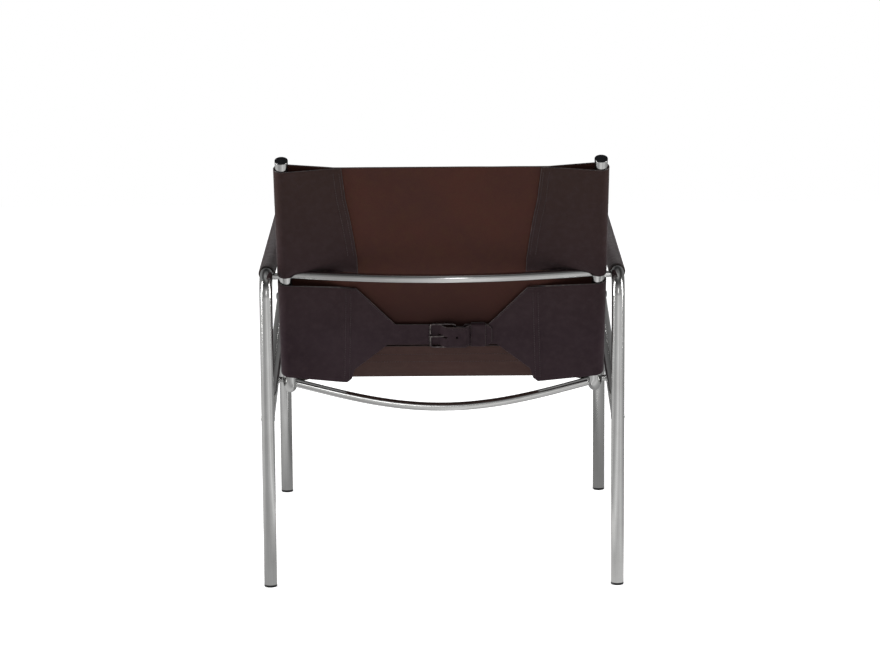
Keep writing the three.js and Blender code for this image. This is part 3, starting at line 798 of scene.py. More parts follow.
@dataclass(frozen=True)
class Thread:
    """Waxed linen thread, twisted from three strands, paler where the wax has rubbed off."""

    name: str = "waxed_linen_thread"
    colour: str = "261d1e"
    rubbed: str = "3c3031"
    strand: float = 0.5

    def build(self) -> Material:
        """Makes the finish. The strands are 0.25 mm wide and are drawn 0.5 mm wide."""
        f = Finish(self.name)
        strands = f.noise(self.strand, 2.0)
        tone = f.mix(f.ramp(f.noise(7.0, 3.0), 0.0, 1.0), self.colour, self.rubbed)
        return f.finished(tone, f.ramp(strands, 0.45, 0.7), f.bump(strands, 0.1, 0.5))


# Leather sheets


class Face(Enum):
    """The material numbers of a hide: its grain side, its flesh side and its cut edge."""

    GRAIN = 0
    FLESH = 1
    EDGE = 2


RIM_STEPS = np.array([0.0, 0.08, 0.3, 0.62])
RIM_ROOM = 2.2
EDGE_SHARE = 0.8
SHEET_SHARP = 60.0
LEAST_WALL = 1e-9
RIPPLES = (
    (0.026, 0.011, 0.3),
    (-0.017, 0.034, 1.9),
    (0.051, -0.022, 4.4),
    (0.008, 0.061, 2.7),
    (0.071, 0.043, 5.1),
)
STITCH_STEPS = np.array([-1.0, -0.7, 0.0, 0.7, 1.0])
STITCH_SIDES = 6
STITCH_RISE = 0.55
STITCH_DIP = 0.9
ROW_POINTS = 60


def normals_of(line: Array, closed: bool = False) -> Array:
    """Returns a flat line's normals: its direction turned a quarter to the left, by central differences.

    Args:
        line: The points, two numbers each.
        closed: Whether the line comes back to its start.
    """
    way = np.roll(line, -1, 0) - np.roll(line, 1, 0) if closed else np.gradient(line, axis=0)
    way = unit(way)
    return np.stack([-way[:, 1], way[:, 0]], axis=-1)


def near_edge(length: float, step: float, rim: float) -> Array:
    """Positions from 0 to the length, close together in a rim's width at both ends.

    Args:
        length: The whole length.
        step: The wanted spacing in the middle.
        rim: The width of the rounded rim.
    """
    near = rim * RIM_STEPS
    middle = np.linspace(rim, length - rim, max(2, int(round((length - 2 * rim) / step)) + 1))
    return np.concatenate([near, middle, (length - near)[::-1]])


def spread(low: Array, high: Array, step: float, rim: float) -> Array:
    """Places over a band's width, a row for each point of its edges, close together near both edges.

    Args:
        low: The band's lower edge.
        high: Its upper edge.
        step: The wanted spacing in the middle.
        rim: The width of the rounded rims. They shrink where the band has no room for both.
    """
    count = len(RIM_STEPS)
    pattern = near_edge(float((high - low).max()), step, rim)
    near, inner = pattern[:count], pattern[count:-count]
    inner = (inner - inner[0]) / (inner[-1] - inner[0])
    band = (high - low)[:, None]
    pinch = np.minimum(band / (RIM_ROOM * rim), 1.0)
    middle = (band - 2 * rim * pinch) * inner + rim * pinch
    return low[:, None] + np.concatenate([near * pinch, middle, band - near[::-1] * pinch], axis=1)


def fade(distance: Array, rim: float) -> Array:
    """Returns the share of full thickness at a distance from an edge: a quarter circle over the rim."""
    return np.sqrt(1 - np.clip(1 - distance / rim, 0, 1) ** 2)


def ease(share: Array) -> Array:
    """Returns a smooth step from 0 to 1 as half a cosine wave."""
    return (1 - np.cos(math.pi * np.clip(share, 0, 1))) / 2


def ripple(x: Array, along: Array, size: float) -> Array:
    """Returns the slow unevenness of leather, as a mean of five sine waves 76 to 223 mm long.

    Args:
        x: Place across, in millimetres.
        along: Place along, in millimetres.
        size: The largest height, in millimetres.
    """
    return size * sum(np.sin(a * x + b * along + c) for a, b, c in RIPPLES) / len(RIPPLES)


def line_run(
    points: Sequence[Sequence[float]], step: float = 3.0, window: int = 1, rim: float = 1.4
) -> Array:
    """A dense line through corner points, with its corners eased and close steps at its ends.

    Args:
        points: The corner points.
        step: Spacing of the dense line.
        window: Number of steps in the running mean that eases the corners.
        rim: The width at each end that gets close steps.
    """
    dense = resampled(np.array(points, float), step)
    dense = smoothed(dense, window) if window > 1 else dense
    run = run_of(dense)
    inner = run[(run > rim * 1.2) & (run < run[-1] - rim * 1.2)]
    near = rim * np.append(RIM_STEPS, 1.0)
    return sampled(dense, run, np.concatenate([near, inner, run[-1] - near[::-1]]))


def thick_grid(
    middle: Array,
    normal: Array,
    half: Array,
    share: Array,
    hole: Array | None = None,
    closed: bool = False,
    caps: Sequence[tuple[int, int]] = (),
) -> Patch:
    """A closed sheet of leather on a grid: two surfaces, half a thickness to each side of the middle one.

    Where the thickness is nothing, along the outer edges and round the hole, the two surfaces meet and
    seal() joins them.

    Args:
        middle: Grid of points.
        normal: The way to the grain side at each point.
        half: Half the thickness at each point.
        share: The share of full thickness at each point. The rounded edges have less than EDGE_SHARE.
        hole: True for the cells of the grid that are cut out.
        closed: Whether the last row goes on to the first.
        caps: The rows that end at full thickness, where the leather goes on in the next piece, each with
            the number of columns that do.
    """
    rows, columns = half.shape
    quads = grid_faces(rows, columns, closed)
    if hole is not None:
        quads = quads[~hole.ravel()]
    edge = np.broadcast_to(share < EDGE_SHARE, half.shape)
    rounded = edge.ravel()[quads].sum(axis=1) > 1
    side = np.concatenate([np.full(len(quads), Face.GRAIN.value), np.full(len(quads), Face.FLESH.value)])
    slots = np.where(np.tile(rounded, 2), Face.EDGE.value, side)
    faces = [quads, quads[:, ::-1] + rows * columns]
    count = rows * columns
    for row, wide in caps:
        first = row * columns + np.arange(wide - 1)
        faces.append(np.stack([first, first + 1, first + 1 + count, first + count], axis=-1))
        slots = np.append(slots, np.full(wide - 1, Face.EDGE.value))
    points = np.concatenate([(middle + sign * normal * half[..., None]).reshape(-1, 3) for sign in (1, -1)])
    return Patch(points, np.concatenate(faces), slots)


def sheet_between(grain: Array, flesh: Array, half: Array, share: Array, **options: object) -> Patch:
    """A closed sheet between its two surfaces.

    Args:
        grain: Grid of points on the grain side.
        flesh: The same on the flesh side.
        half: Half the thickness at each point.
        share: The share of full thickness at each point.
        options: More of thick_grid()'s values.
    """
    way = (grain - flesh) / np.maximum(2 * half, LEAST_WALL)[..., None]
    return thick_grid((grain + flesh) / 2, way, half, share, **options)


def grid_normals(points: Array, towards: Array) -> Array:
    """Returns a grid's normals, as the cross product of its differences along rows and columns.

    Args:
        points: The grid.
        towards: A direction that the normals in the middle of the grid have to share.
    """
    normals = unit(np.cross(np.gradient(points, axis=0), np.gradient(points, axis=1)))
    middle = normals[normals.shape[0] // 2, normals.shape[1] // 2]
    return normals * np.sign(float(middle @ towards))


def stitches(
    points: Array,
    normals: Array,
    pitch: float = 5.0,
    length: float = 3.6,
    radius: float = 0.45,
    slant: float = 0.16,
) -> Patch:
    """A row of sewn stitches: short grains of thread that lie on the leather end to end.

    Each stitch is a tube whose radius follows the square root of (1 - t squared) over its length, and
    whose middle line dips into the leather at both ends.

    Args:
        points: A line on the leather's surface, in millimetres.
        normals: The surface's normal at each point, or one for all of them.
        pitch: Distance from stitch to stitch.
        length: Length of a stitch.
        radius: Radius of the thread.
        slant: How far a stitch leans from the row, as a share of its length.
    """
    run = run_of(points)
    count = max(1, int((run[-1] - length) / pitch))
    at = (run[-1] - (count - 1) * pitch) / 2 + pitch * np.arange(count)
    centre, ahead, behind = (sampled(points, run, at + shift) for shift in (0, 1, -1))
    up = unit(sampled(np.broadcast_to(normals, points.shape), run, at))
    way = unit(ahead - behind)
    way = unit(way + slant * np.cross(up, way))
    side = np.cross(up, way)
    share = STITCH_STEPS
    spin = np.linspace(0, 2 * math.pi, STITCH_SIDES, endpoint=False)
    swell = radius * np.sqrt(1 - share**2)
    rise = radius * (STITCH_RISE - STITCH_DIP * share**2)
    spine = centre[:, None] + way[:, None] * (share * length / 2)[:, None] + up[:, None] * rise[:, None]
    circle = np.cos(spin)[:, None] * side[:, None] + np.sin(spin)[:, None] * up[:, None]
    rings = spine[:, :, None] + swell[None, :, None, None] * circle[:, None]
    quads = grid_faces(len(share), len(spin), False, True)
    shifts = (np.arange(count) * len(share) * len(spin))[:, None, None]
    quads = (quads[None] + shifts).reshape(-1, 4)
    return Patch(rings.reshape(-1, 3), quads, plain_slots(quads))


@dataclass(frozen=True)
class Flap:
    """A flap's lower and upper edge, each as places along the tubes for a list of distances across."""

    low_x: tuple[float, ...]
    low: tuple[float, ...]
    high_x: tuple[float, ...]
    high: tuple[float, ...]

    def edges(self, x: Array) -> tuple[Array, Array]:
        """Returns the lower and the upper edge at each distance across."""
        return np.interp(x, self.low_x, self.low), np.interp(x, self.high_x, self.high)


@dataclass(frozen=True)
class SlingSizes:
    """Sizes of the leather in millimetres.

    They are those of the solids, apart from the leather's thickness, the ends of the flaps, the tail's half
    width and top, the seat's lift, and the unevenness, which the solids don't have.
    """

    hide: float = 3.0
    leather: float = 2.8
    seam: float = 176.0
    flap_end: float = 162.0
    belt_root: float = 186.0
    panel_top: float = 492.0
    panel_low: float = 42.0
    panel_low_inside: float = 78.0
    tail_half: float = 172.0
    tail_top: float = 101.0
    fold_radius: float = 80.0
    seat_start: float = 66.0
    seat_sag: float = 14.0
    seat_lift: float = 11.0
    lift_run: float = 80.0
    under_flap_start: float = 76.0
    flap_lean: float = 10.0
    under_flap_lean: float = 14.0
    back_strap_up: float = 129.0
    seat_strap_forward: float = 245.0
    flat_reach: float = 60.0
    strap_tip: float = 92.0
    wave: float = 0.9
    wave_inset: float = 16.0
    wave_ease: float = 90.0
    calm_share: float = 0.25
    calm_half: float = 50.0
    calm_ease: float = 60.0

    @property
    def level(self) -> float:
        """The distance from one layer of leather to the next."""
        return self.hide + SIZES.gap

    @property
    def outer(self) -> float:
        """The outermost x of the hide round a tube."""
        return SIZES.sling_x + SIZES.tube_radius + SIZES.gap + self.hide


LEATHER = SlingSizes()


def wrap_line(steps: int = 36) -> tuple[Array, float]:
    """The hide's line round the tube at +X, and how much the flap rises towards the tube.

    Args:
        steps: Number of steps round the tube.

    Returns:
        The arc's [x, out] points, from the sitter's side round the outside, and the flap's slope.
    """
    radius = SIZES.tube_radius + SIZES.gap + LEATHER.hide / 2
    half = LEATHER.level / 2
    room = SIZES.sling_x - LEATHER.seam
    lean = math.atan2(half, room)
    touch = math.acos(radius / math.hypot(room, half))
    angle = math.pi + lean + touch + np.linspace(0, 1, steps + 1) * 2 * (math.pi - lean - touch)
    arc = np.stack([SIZES.sling_x + radius * np.cos(angle), radius * np.sin(angle)], axis=-1)
    return arc, float((arc[-1, 1] - half) / (arc[-1, 0] - LEATHER.seam))


def back_wave(x: Array, along: Array) -> Array:
    """Returns how far the back lies out of its plane: nothing on the tubes and little under the buckle."""
    beside = ease((SIZES.sling_x - LEATHER.wave_inset - np.abs(x)) / LEATHER.wave_ease)
    calm = LEATHER.calm_share
    free = beside * (calm + (1 - calm) * ease((np.abs(x) - LEATHER.calm_half) / LEATHER.calm_ease))
    return free * ripple(x, along, LEATHER.wave)


def place_back(x: Array, out: Array, along: Array) -> Array:
    """Returns points on the back, a little uneven between the tubes."""
    return SIZES.back.at(x, along, out + back_wave(x, along))


def place_seat(x: Array, out: Array, along: Array) -> Array:
    """Returns points on the seat: hollowed in the middle and raised where it folds behind the back."""
    leather = LEATHER
    across = ease((leather.seam - np.abs(x)) / (leather.seam - leather.strap_tip))
    rear_run = leather.seat_strap_forward - leather.flat_reach - leather.seat_start
    front_run = SIZES.seat_end - leather.seat_strap_forward - leather.flat_reach
    behind = ease((along - leather.seat_start) / rear_run)
    ahead = ease((SIZES.seat_end - along) / front_run)
    drop = leather.seat_sag * across * np.minimum(behind, ahead)
    inward = np.clip((SIZES.sling_x - np.abs(x)) / (SIZES.sling_x - leather.seam), 0, 1)
    lift = leather.seat_lift * inward * (1 - ease((along - leather.seat_start) / leather.lift_run))
    return SIZES.seat.at(x, along, out + drop - lift)


@dataclass
class Hides:
    """The back hide and the seat hide, each wrapped round both tubes and ending in four flaps."""

    grain: GrainLeather
    flesh: FleshLeather
    seat_flesh: FleshLeather
    edge: EdgeLeather
    thread: Thread
    upper: Flap = Flap((150, 188, 266, 277, 301), (265, 269, 271.5, 262, 262), (162, 301), (492, 492))
    lower: Flap = Flap((186, 301), (19, 42), (186, 301), (234, 249))
    step: float = 7.0
    front_share: float = 1 / 3
    lap: float = 14.0
    seam_along: tuple[float, ...] = (249, 262, 295, 338, 381, 424, 492)
    seam_x: tuple[float, ...] = (176, 167, 168, 173, 179, 186.5, 193)
    crease_x: tuple[float, ...] = (152, 176, 240, 285)
    crease_along: tuple[float, ...] = (302, 297, 283, 270)
    crease_slope: float = 0.42
    crease_room: float = 0.75
    flap_rows: tuple[float, ...] = (5.0, 15.5)
    flap_row_span: tuple[float, float] = (300.0, 486.0)
    tail_rows: tuple[float, ...] = (82.4, 65.2)
    tail_row_inset: float = 5.0
    tail_row_points: int = 80
    skived: float = 0.6
    skive_start: float = 9.0
    skive_run: float = 8.0

    def build(self) -> None:
        """Builds both hides and their stitching."""
        self.leather = [self.grain.build(), self.flesh.build(), self.edge.build()]
        self.sewn = self.thread.build()
        start = SIZES.seat_end - SIZES.front_flap
        across, end = (162, 301), SIZES.seat_end
        front = Flap(across, (start + LEATHER.flap_lean, start), across, (end, end))
        low, lean = LEATHER.under_flap_start, LEATHER.under_flap_lean
        high = SIZES.front_bar_forward - SIZES.bar_room
        self.under = Flap((186, 301), (low + lean, low), (186, 301), (high - lean, high))
        back = self.hide((self.lower, self.upper), self.back_limits, place_back, -SIZES.back.outward, True)
        seat = self.hide((self.under, front), self.seat_limits, place_seat, -SIZES.seat.outward, False)
        self.declare("back_hide", back[0], back[1], "back_panel", self.leather)
        seat_leather = [self.leather[0], self.seat_flesh.build(), self.leather[2]]
        whole = joined([seat[0], self.tail()])
        self.declare("seat_hide", whole, seat[1] + self.tail_size(), "seat_panel", seat_leather)
        self.sewing()

    def declare(
        self, name: str, patch: Patch, size: Array, node: str, leather: Sequence[Material]
    ) -> None:
        """Args:
            name: The piece's name.
            patch: Its surface.
            size: Width, length and area of the flat hide, in millimetres. Not used.
            node: The solid that it stands for.
            leather: The finishes of its grain side, flesh side and edges.
        """
        piece = make_piece(name, patch, leather, [node], sharp=SHEET_SHARP)

    def back_limits(self, x: Array) -> tuple[Array, Array]:
        """Returns the lower and upper edge of the back's middle layer at each x."""
        inside = ease((LEATHER.tail_half + LEATHER.hide + 7 - np.abs(x)) / 14)
        low = LEATHER.panel_low + (LEATHER.panel_low_inside - LEATHER.panel_low) * inside
        return low, np.full(x.shape, LEATHER.panel_top)

    def seat_limits(self, x: Array) -> tuple[Array, Array]:
        """Returns the rear and front edge of the seat's middle layer at each x."""
        return np.full(x.shape, LEATHER.seat_start), np.full(x.shape, SIZES.seat_end)

    def seam(self, along: Array, shaped: bool) -> Array:
        """Returns where the flaps meet the middle layer, at each place along the tubes."""
        if not shaped:
            return np.full(along.shape, LEATHER.seam)
        return np.interp(along, self.seam_along, self.seam_x)

    def hide(
        self,
        flaps: tuple[Flap, Flap],
        limits: Callable[[Array], tuple[Array, Array]],
        place: Place,
        facing: Array,
        shaped: bool,
    ) -> tuple[Patch, Array]:
        """One hide with its four flaps, as a single sheet on a grid.

        A row of the grid is a station on the hide's way across: over the sitter's side, round the tube
        and back to the flap's end. A column is a place along the tubes. Between the two flaps the cells
        behind the tube are cut out. The lower flaps end at full thickness, where the belts go on.

        Args:
            flaps: The lower and the upper flap.
            limits: The edges of the middle layer.
            place: Turns x, out and along into points.
            facing: The way to the sitter.
            shaped: Whether the seam is curved and the upper flap creased, as on the back.

        Returns:
            The sheet, and the width, length and area of the flat hide.
        """
        arc, _ = wrap_line()
        rim = LEATHER.leather / 2
        touch, half_level = arc[0, 0], LEATHER.level / 2
        near = LEATHER.flap_end + rim * np.append(RIM_STEPS, 1.0)[::-1]
        seam_x, root = LEATHER.seam, LEATHER.belt_root
        front = np.concatenate([np.linspace(0, seam_x, 28), np.linspace(seam_x, touch, 12)[1:-1]])
        lap = np.linspace(seam_x, near[0], 4)[1:-1]
        back = np.concatenate([np.linspace(touch, seam_x, 14)[1:], lap, near])
        base = np.concatenate([front, arc[:, 0], back])
        fixed = np.concatenate([0 * front, arc[:, 1], 0 * back])
        layer = np.concatenate([0 * front - 1, 0 * arc[:, 0], 0 * back + 1])
        side = np.concatenate([-np.ones(len(base)), np.ones(len(base) - 1)])
        base, fixed, layer = (np.concatenate([v[::-1], v[1:]]) for v in (base, fixed, layer))
        centre = (len(base) - 1) // 2
        reach = len(front) - 1 + int(round((len(arc) - 1) * self.front_share))
        beyond = np.abs(np.arange(len(base)) - centre) - reach
        wrapped = beyond > 0
        ends = [LEATHER.flap_end, LEATHER.seam, touch]
        lower_x = np.where(layer > 0, np.interp(base, ends, [root, root + 4, touch]), base)
        front_low, front_high = limits(base)
        breaks = [*flaps[0].edges(lower_x), *flaps[1].edges(base)]
        turn = ease((beyond + 9) / 12)
        edges = [
            breaks[0] * turn + front_low * (1 - turn),
            np.where(wrapped, breaks[1], breaks[1][centre - reach]),
            np.where(wrapped, breaks[2], breaks[2][centre - reach]),
            breaks[3] * turn + front_high * (1 - turn),
        ]
        columns, starts = [], []
        for number, (low, high) in enumerate(zip(edges[:-1], edges[1:])):
            starts.append(sum(c.shape[1] for c in columns))
            columns.append(spread(low, high, self.step, rim)[:, : None if number == 2 else -1])
        along = np.concatenate(columns, axis=1)
        column = np.arange(along.shape[1])
        seam = self.seam(along, shaped)
        nominal = base[:, None] + 0 * along
        outer = touch - (touch - nominal) * (touch - seam) / (touch - LEATHER.seam)
        inside = np.where(layer[:, None] > 0, seam - (LEATHER.seam - nominal), nominal * seam / LEATHER.seam)
        x = np.where(nominal > LEATHER.seam, outer, inside)
        x = np.where((layer[:, None] > 0) & (column < starts[1]), lower_x[:, None], x)
        x = np.where(layer[:, None] == 0, nominal, x)
        rise = half_level + np.maximum(x - seam, 0) * (-arc[0, 1] - half_level) / (touch - seam)
        out = np.where(layer[:, None] == 0, fixed[:, None], layer[:, None] * rise)
        if shaped:
            crease = np.interp(x, self.crease_x, self.crease_along)
            room = 2 * np.maximum(rise - half_level, 0)
            sink = np.minimum(self.crease_room * room, self.crease_slope * np.maximum(crease - along, 0))
            out = out - np.where((layer[:, None] > 0) & (column > starts[2]), sink, 0)
        run = run_of(np.stack([side * base, np.where(layer == 0, fixed, layer * half_level)], -1))
        ahead = (run[centre + reach] - run[centre] - np.abs(run - run[centre]))[:, None]
        outside = np.maximum(edges[1][:, None] - along, along - edges[2][:, None])
        to_notch = np.where(ahead < 0, outside, np.hypot(ahead, np.maximum(outside, 0)))
        to_end = np.minimum(run, run[-1] - run)[:, None] + np.where(column < starts[1], 2 * rim, 0)
        distance = np.minimum(along - edges[0][:, None], edges[3][:, None] - along)
        distance = np.maximum(np.minimum(np.minimum(distance, to_end), to_notch), 0)
        share = fade(distance, rim)
        middle = place(side[:, None] * x, out, along)
        between = (column[:-1] >= starts[1]) & (column[:-1] < starts[2])
        hole = (np.maximum(beyond[:-1], beyond[1:]) > 0)[:, None] & between
        caps = [(0, starts[1] + 1), (len(base) - 1, starts[1] + 1)]
        normals = grid_normals(middle, facing)
        patch = thick_grid(middle, normals, LEATHER.leather * share / 2, share, hole, caps=caps)
        band = (edges[3] - edges[0]) - np.where(wrapped, edges[2] - edges[1], 0)
        area = float((band * np.gradient(run)).sum())
        return patch, np.array([run[-1], float(edges[3].max() - edges[0].min()), area])

    def tail_path(self) -> Path:
        """The line of the seat hide's tail: from the seat round a fold and up behind the back."""
        leather, seat, back = LEATHER, SIZES.seat, SIZES.back
        seat_out = SIZES.gap - leather.level / 2 - leather.seat_lift
        back_out = leather.level / 2
        facing = float(back.outward @ seat.outward)
        up = (seat_out - back_out * facing) / float(back.along @ seat.outward)
        corners = [
            seat.at(0, leather.seat_start + 8, seat_out),
            back.at(0, up, back_out),
            back.at(0, leather.tail_top, back_out),
        ]
        return Path.bent(corners, leather.fold_radius, X_AXIS, 36)

    def tail_size(self) -> Array:
        """Returns what the tail adds to the hide's width, length and area, in millimetres."""
        length = float(run_of(self.tail_path().points)[-1])
        return np.array([0.0, length, length * 2 * LEATHER.tail_half])

    def tail_wave(self, x: Array, run: Array, length: float) -> Array:
        """Returns how far the tail lies out: with the back where it is flat, not at all on the seat."""
        return ease(run / length * 2 - 1) * back_wave(x, LEATHER.tail_top - length + run)

    def tail(self) -> Patch:
        """The seat hide's tail, thinner where it leaves the seat's own layer."""
        line = line_run(self.tail_path().points, 4.0)
        run = run_of(line)
        rim = LEATHER.leather / 2
        x = near_edge(2 * LEATHER.tail_half, self.step, rim) - LEATHER.tail_half
        sides = LEATHER.tail_half - np.abs(x)
        distance = np.minimum(sides[None, :], np.minimum(run, run[-1] - run)[:, None])
        share = fade(np.maximum(distance, 0), rim)
        thin = self.skived + (1 - self.skived) * ease((run - self.skive_start) / self.skive_run)
        full = LEATHER.leather * thin[:, None]
        wave = self.tail_wave(x[None, :], run[:, None], run[-1])
        middle = line[:, None, :] + x[None, :, None] * X_AXIS + wave[..., None] * SIZES.back.outward
        return thick_grid(middle, grid_normals(middle, -Z_AXIS) * -1, full * share / 2, share)

    def sewing(self) -> None:
        """The rows of stitches on the upper flaps and across the tail."""
        rows = []
        half = LEATHER.level / 2 + LEATHER.leather / 2
        arc, _ = wrap_line()
        for _, sign in SIDES:
            for inset in self.flap_rows:
                along = np.linspace(*self.flap_row_span, ROW_POINTS)
                seam = self.seam(along, True)
                x = seam - self.lap + inset
                rise = (-arc[0, 1] - LEATHER.level / 2) / (arc[0, 0] - seam)
                points = place_back(sign * x, half + np.maximum(0, x - seam) * rise, along)
                rows.append(stitches(points, SIZES.back.outward))
        path = self.tail_path()
        run = run_of(path.points)
        half_row = LEATHER.tail_half - self.tail_row_inset
        for up in self.tail_rows:
            x = np.linspace(-half_row, half_row, self.tail_row_points)
            at = run[-1] - (LEATHER.tail_top - up)
            centre, way = (sampled(line, run, at) for line in (path.points, path.tangents))
            normal = np.cross(X_AXIS, way)
            normal = normal * np.sign(float(normal @ SIZES.back.outward))
            lift = self.tail_wave(x, np.full(len(x), at), run[-1])[:, None] * SIZES.back.outward
            points = centre + x[:, None] * X_AXIS + normal * LEATHER.leather / 2 + lift
            rows.append(stitches(points, normal))
        make_piece("hide_stitching", joined(rows), [self.sewn])


# The steel frame


@dataclass
class SteelFrame:
    """Side frames, inner tubes, crossbars and spacers, all of chromed steel."""

    chrome: Chrome
    sizes: FrameSizes = SIZES
    weld: float = 1.1
    bow_points: int = 73
    bow_trim: int = 7

    def build(self) -> None:
        """Builds every steel piece of the frame."""
        upright = self.chrome.build(Run.UP)
        level = self.chrome.build(Run.DEEP)
        across = self.chrome.build(Run.ACROSS)
        for side, sign in SIDES:
            self.tubes(side, sign, upright)
            self.side_rail(side, sign, level)
            self.spacers(side, sign, across)
        self.crossbars(across)

    @property
    def bore(self) -> float:
        """Radius of a tube's bore."""
        return self.sizes.tube_radius - self.sizes.wall

    def tubes(self, side: str, sign: int, chrome: Material) -> None:
        """The two bent tubes of a side.

        The side frame is an upside-down U: rear leg, arm and front leg. The inner tube carries the sling: a
        reclined post, one bend and a seat rail.

        Args:
            side: The side's name.
            sign: 1 on the chair's left, -1 on its right.
            chrome: The finish.
        """
        s = self.sizes
        rear, front, foot = s.rear_y, s.rear_y - s.leg_depth, s.glide_height + s.gap
        turns = ((rear, foot), (rear, s.arm_height), (front, s.arm_height), (front, foot))
        outer = [np.array([sign * s.side_x, y, z]) for y, z in turns]
        x = sign * s.sling_x
        inner = [s.back.at(x, s.post_length, 0), s.back.at(x, 0, 0), s.seat.at(x, s.rail_length, 0)]
        for name, node, corners in (("bent_tube", "side_frame", outer), ("inner_tube", "sling_tube", inner)):
            patch = tube_shell(Path.bent(corners, s.bend, X_AXIS), s.tube_radius, self.bore)
            make_piece(f"{name}_{side}", patch, [chrome], [f"{node}_{side}"])

    def side_rail(self, side: str, sign: int, chrome: Material) -> None:
        """The straight rail between two legs, with its ends cut to their round and welded.

        Args:
            side: The side's name.
            sign: 1 on the chair's left, -1 on its right.
            chrome: The finish.
        """
        s = self.sizes
        x = sign * s.side_x
        legs = [np.array([x, y, 0.0]) for y in (s.rear_y, s.rear_y - s.leg_depth)]
        heights = (s.corner_height - s.rail_below_corner, s.bolt_height + s.rail_above_bolt)
        ends = [leg + Z_AXIS * height for leg, height in zip(legs, heights)]
        patch = self.coped(ends, s.tube_radius, X_AXIS, [(leg, Z_AXIS) for leg in legs], 48)
        make_piece(f"rail_{side}", patch, [chrome], [f"side_rail_{side}"])

    def coped(
        self,
        ends: Sequence[Array],
        radius: float,
        normal: Array,
        tubes: Sequence[tuple[Array, Array]],
        sides: int,
    ) -> Patch:
        """A straight rod between two tubes, with ends that follow their round and a weld bead at each.

        Each end ring is the rod's circle, moved along the rod until it meets the tube:
        the nearer root of |p + t way| = tube radius + gap / 2, measured from the tube's axis.

        Args:
            ends: Points inside the two tubes.
            radius: The rod's radius.
            normal: A direction square to the rod.
            tubes: A point on the axis of each tube, and the axis.
            sides: Number of faces round the rod.
        """
        s = self.sizes
        centre = (ends[0] + ends[1]) / 2
        path = Path.straight(centre, centre + unit(ends[1] - ends[0]), normal)
        middle = path.rings(radius, sides)[0]
        way = path.tangents[0]
        reach = s.tube_radius + s.gap / 2
        rings = [to_cylinder(middle, sign * way, *tube, reach) for sign, tube in zip((-1, 1), tubes)]
        share = np.linspace(0, 1, 9)[:, None, None]
        body = rings[0] * (1 - share) + rings[1] * share
        return joined([capped(body), *[bead(ring, self.weld) for ring in rings]])

    def spacers(self, side: str, sign: int, chrome: Material) -> None:
        """The three short rods that hold the inner tube off the side frame.

        Args:
            side: The side's name.
            sign: 1 on the chair's left, -1 on its right.
            chrome: The finish.
        """
        s = self.sizes
        inner, outer = sign * s.sling_x, sign * s.side_x
        y_arm = s.back.at(0, s.arm_spacer_up, 0)
        y_rear = s.seat.at(0, s.rear_spacer_forward, 0)
        y_front = np.array([0.0, s.rear_y - s.leg_depth, s.bolt_height])
        rise = s.rail_above_bolt + s.bolt_height - s.corner_height + s.rail_below_corner
        rail = unit(np.array([0.0, -s.leg_depth, rise]))
        rail_at = np.array([outer, s.rear_y, s.corner_height - s.rail_below_corner])
        for name, point, inner_axis, outer_at, outer_axis in (
            ("arm", y_arm, s.back.along, np.array([outer, 0, s.arm_height]), Y_AXIS),
            ("rear", y_rear, s.seat.along, rail_at, rail),
            ("front", y_front, s.seat.along, np.array([outer, y_front[1], 0]), Z_AXIS),
        ):
            ends = [point * [0, 1, 1] + X_AXIS * inner, point * [0, 1, 1] + X_AXIS * outer]
            tubes = [(ends[0], inner_axis), (outer_at, outer_axis)]
            patch = self.coped(ends, s.spacer_radius, Z_AXIS, tubes, 28)
            make_piece(f"{name}_rod_{side}", patch, [chrome], [f"{name}_spacer_{side}"])

    def crossbars(self, chrome: Material) -> None:
        """The three bars that bow away from the sitter between the inner tubes.

        Args:
            chrome: The finish.
        """
        s = self.sizes
        turn = math.pi / 2 - s.recline + s.slope
        bend_run = s.bend * math.tan(turn / 2)
        for name, plane, along, way, bow in (
            ("back", s.back, s.back_bar_up, Y_AXIS, s.back_bow),
            ("rear", s.seat, bend_run + s.rear_bar_forward, s.seat.outward, s.seat_bow),
            ("front", s.seat, s.front_bar_forward, s.seat.outward, s.seat_bow),
        ):
            patch = self.crossbar(plane, along, way, bow)
            make_piece(f"{name}_bar", patch, [chrome], [f"{name}_crossbar"])

    def crossbar(self, plane: Plane, along: float, way: Array, bow: float, sides: int = 36) -> Patch:
        """One bowed bar: its middle line is the bow times the cosine of the way from the middle.

        Args:
            plane: The plane of the tubes that it joins.
            along: Its place along them.
            way: The direction of the bow.
            bow: How far it bows.
            sides: Number of faces round it.
        """
        s = self.sizes
        reach = s.sling_x - self.bore
        share = np.linspace(-1, 1, self.bow_points)
        points = plane.at(share * reach, along, 0) + bow * np.cos(share * math.pi / 2)[:, None] * way
        slope = -bow * math.pi * np.sin(share * math.pi / 2) / (2 * reach)
        path = Path(points, unit(X_AXIS + slope[:, None] * way), unit(np.cross(X_AXIS, way)))
        rings = path.rings(s.bar_radius, sides)
        radius = s.tube_radius + s.gap / 2
        ends, trim = [], self.bow_trim
        for index, sign in ((trim - 1, -1), (-trim, 1)):
            centre = plane.at(sign * s.sling_x, along, 0)
            ends.append(to_cylinder(rings[index], sign * path.tangents[index], centre, plane.along, radius))
        rows = np.concatenate([ends[0][None], rings[trim:-trim], ends[1][None]])
        return joined([capped(rows), *[bead(end, self.weld) for end in ends]])


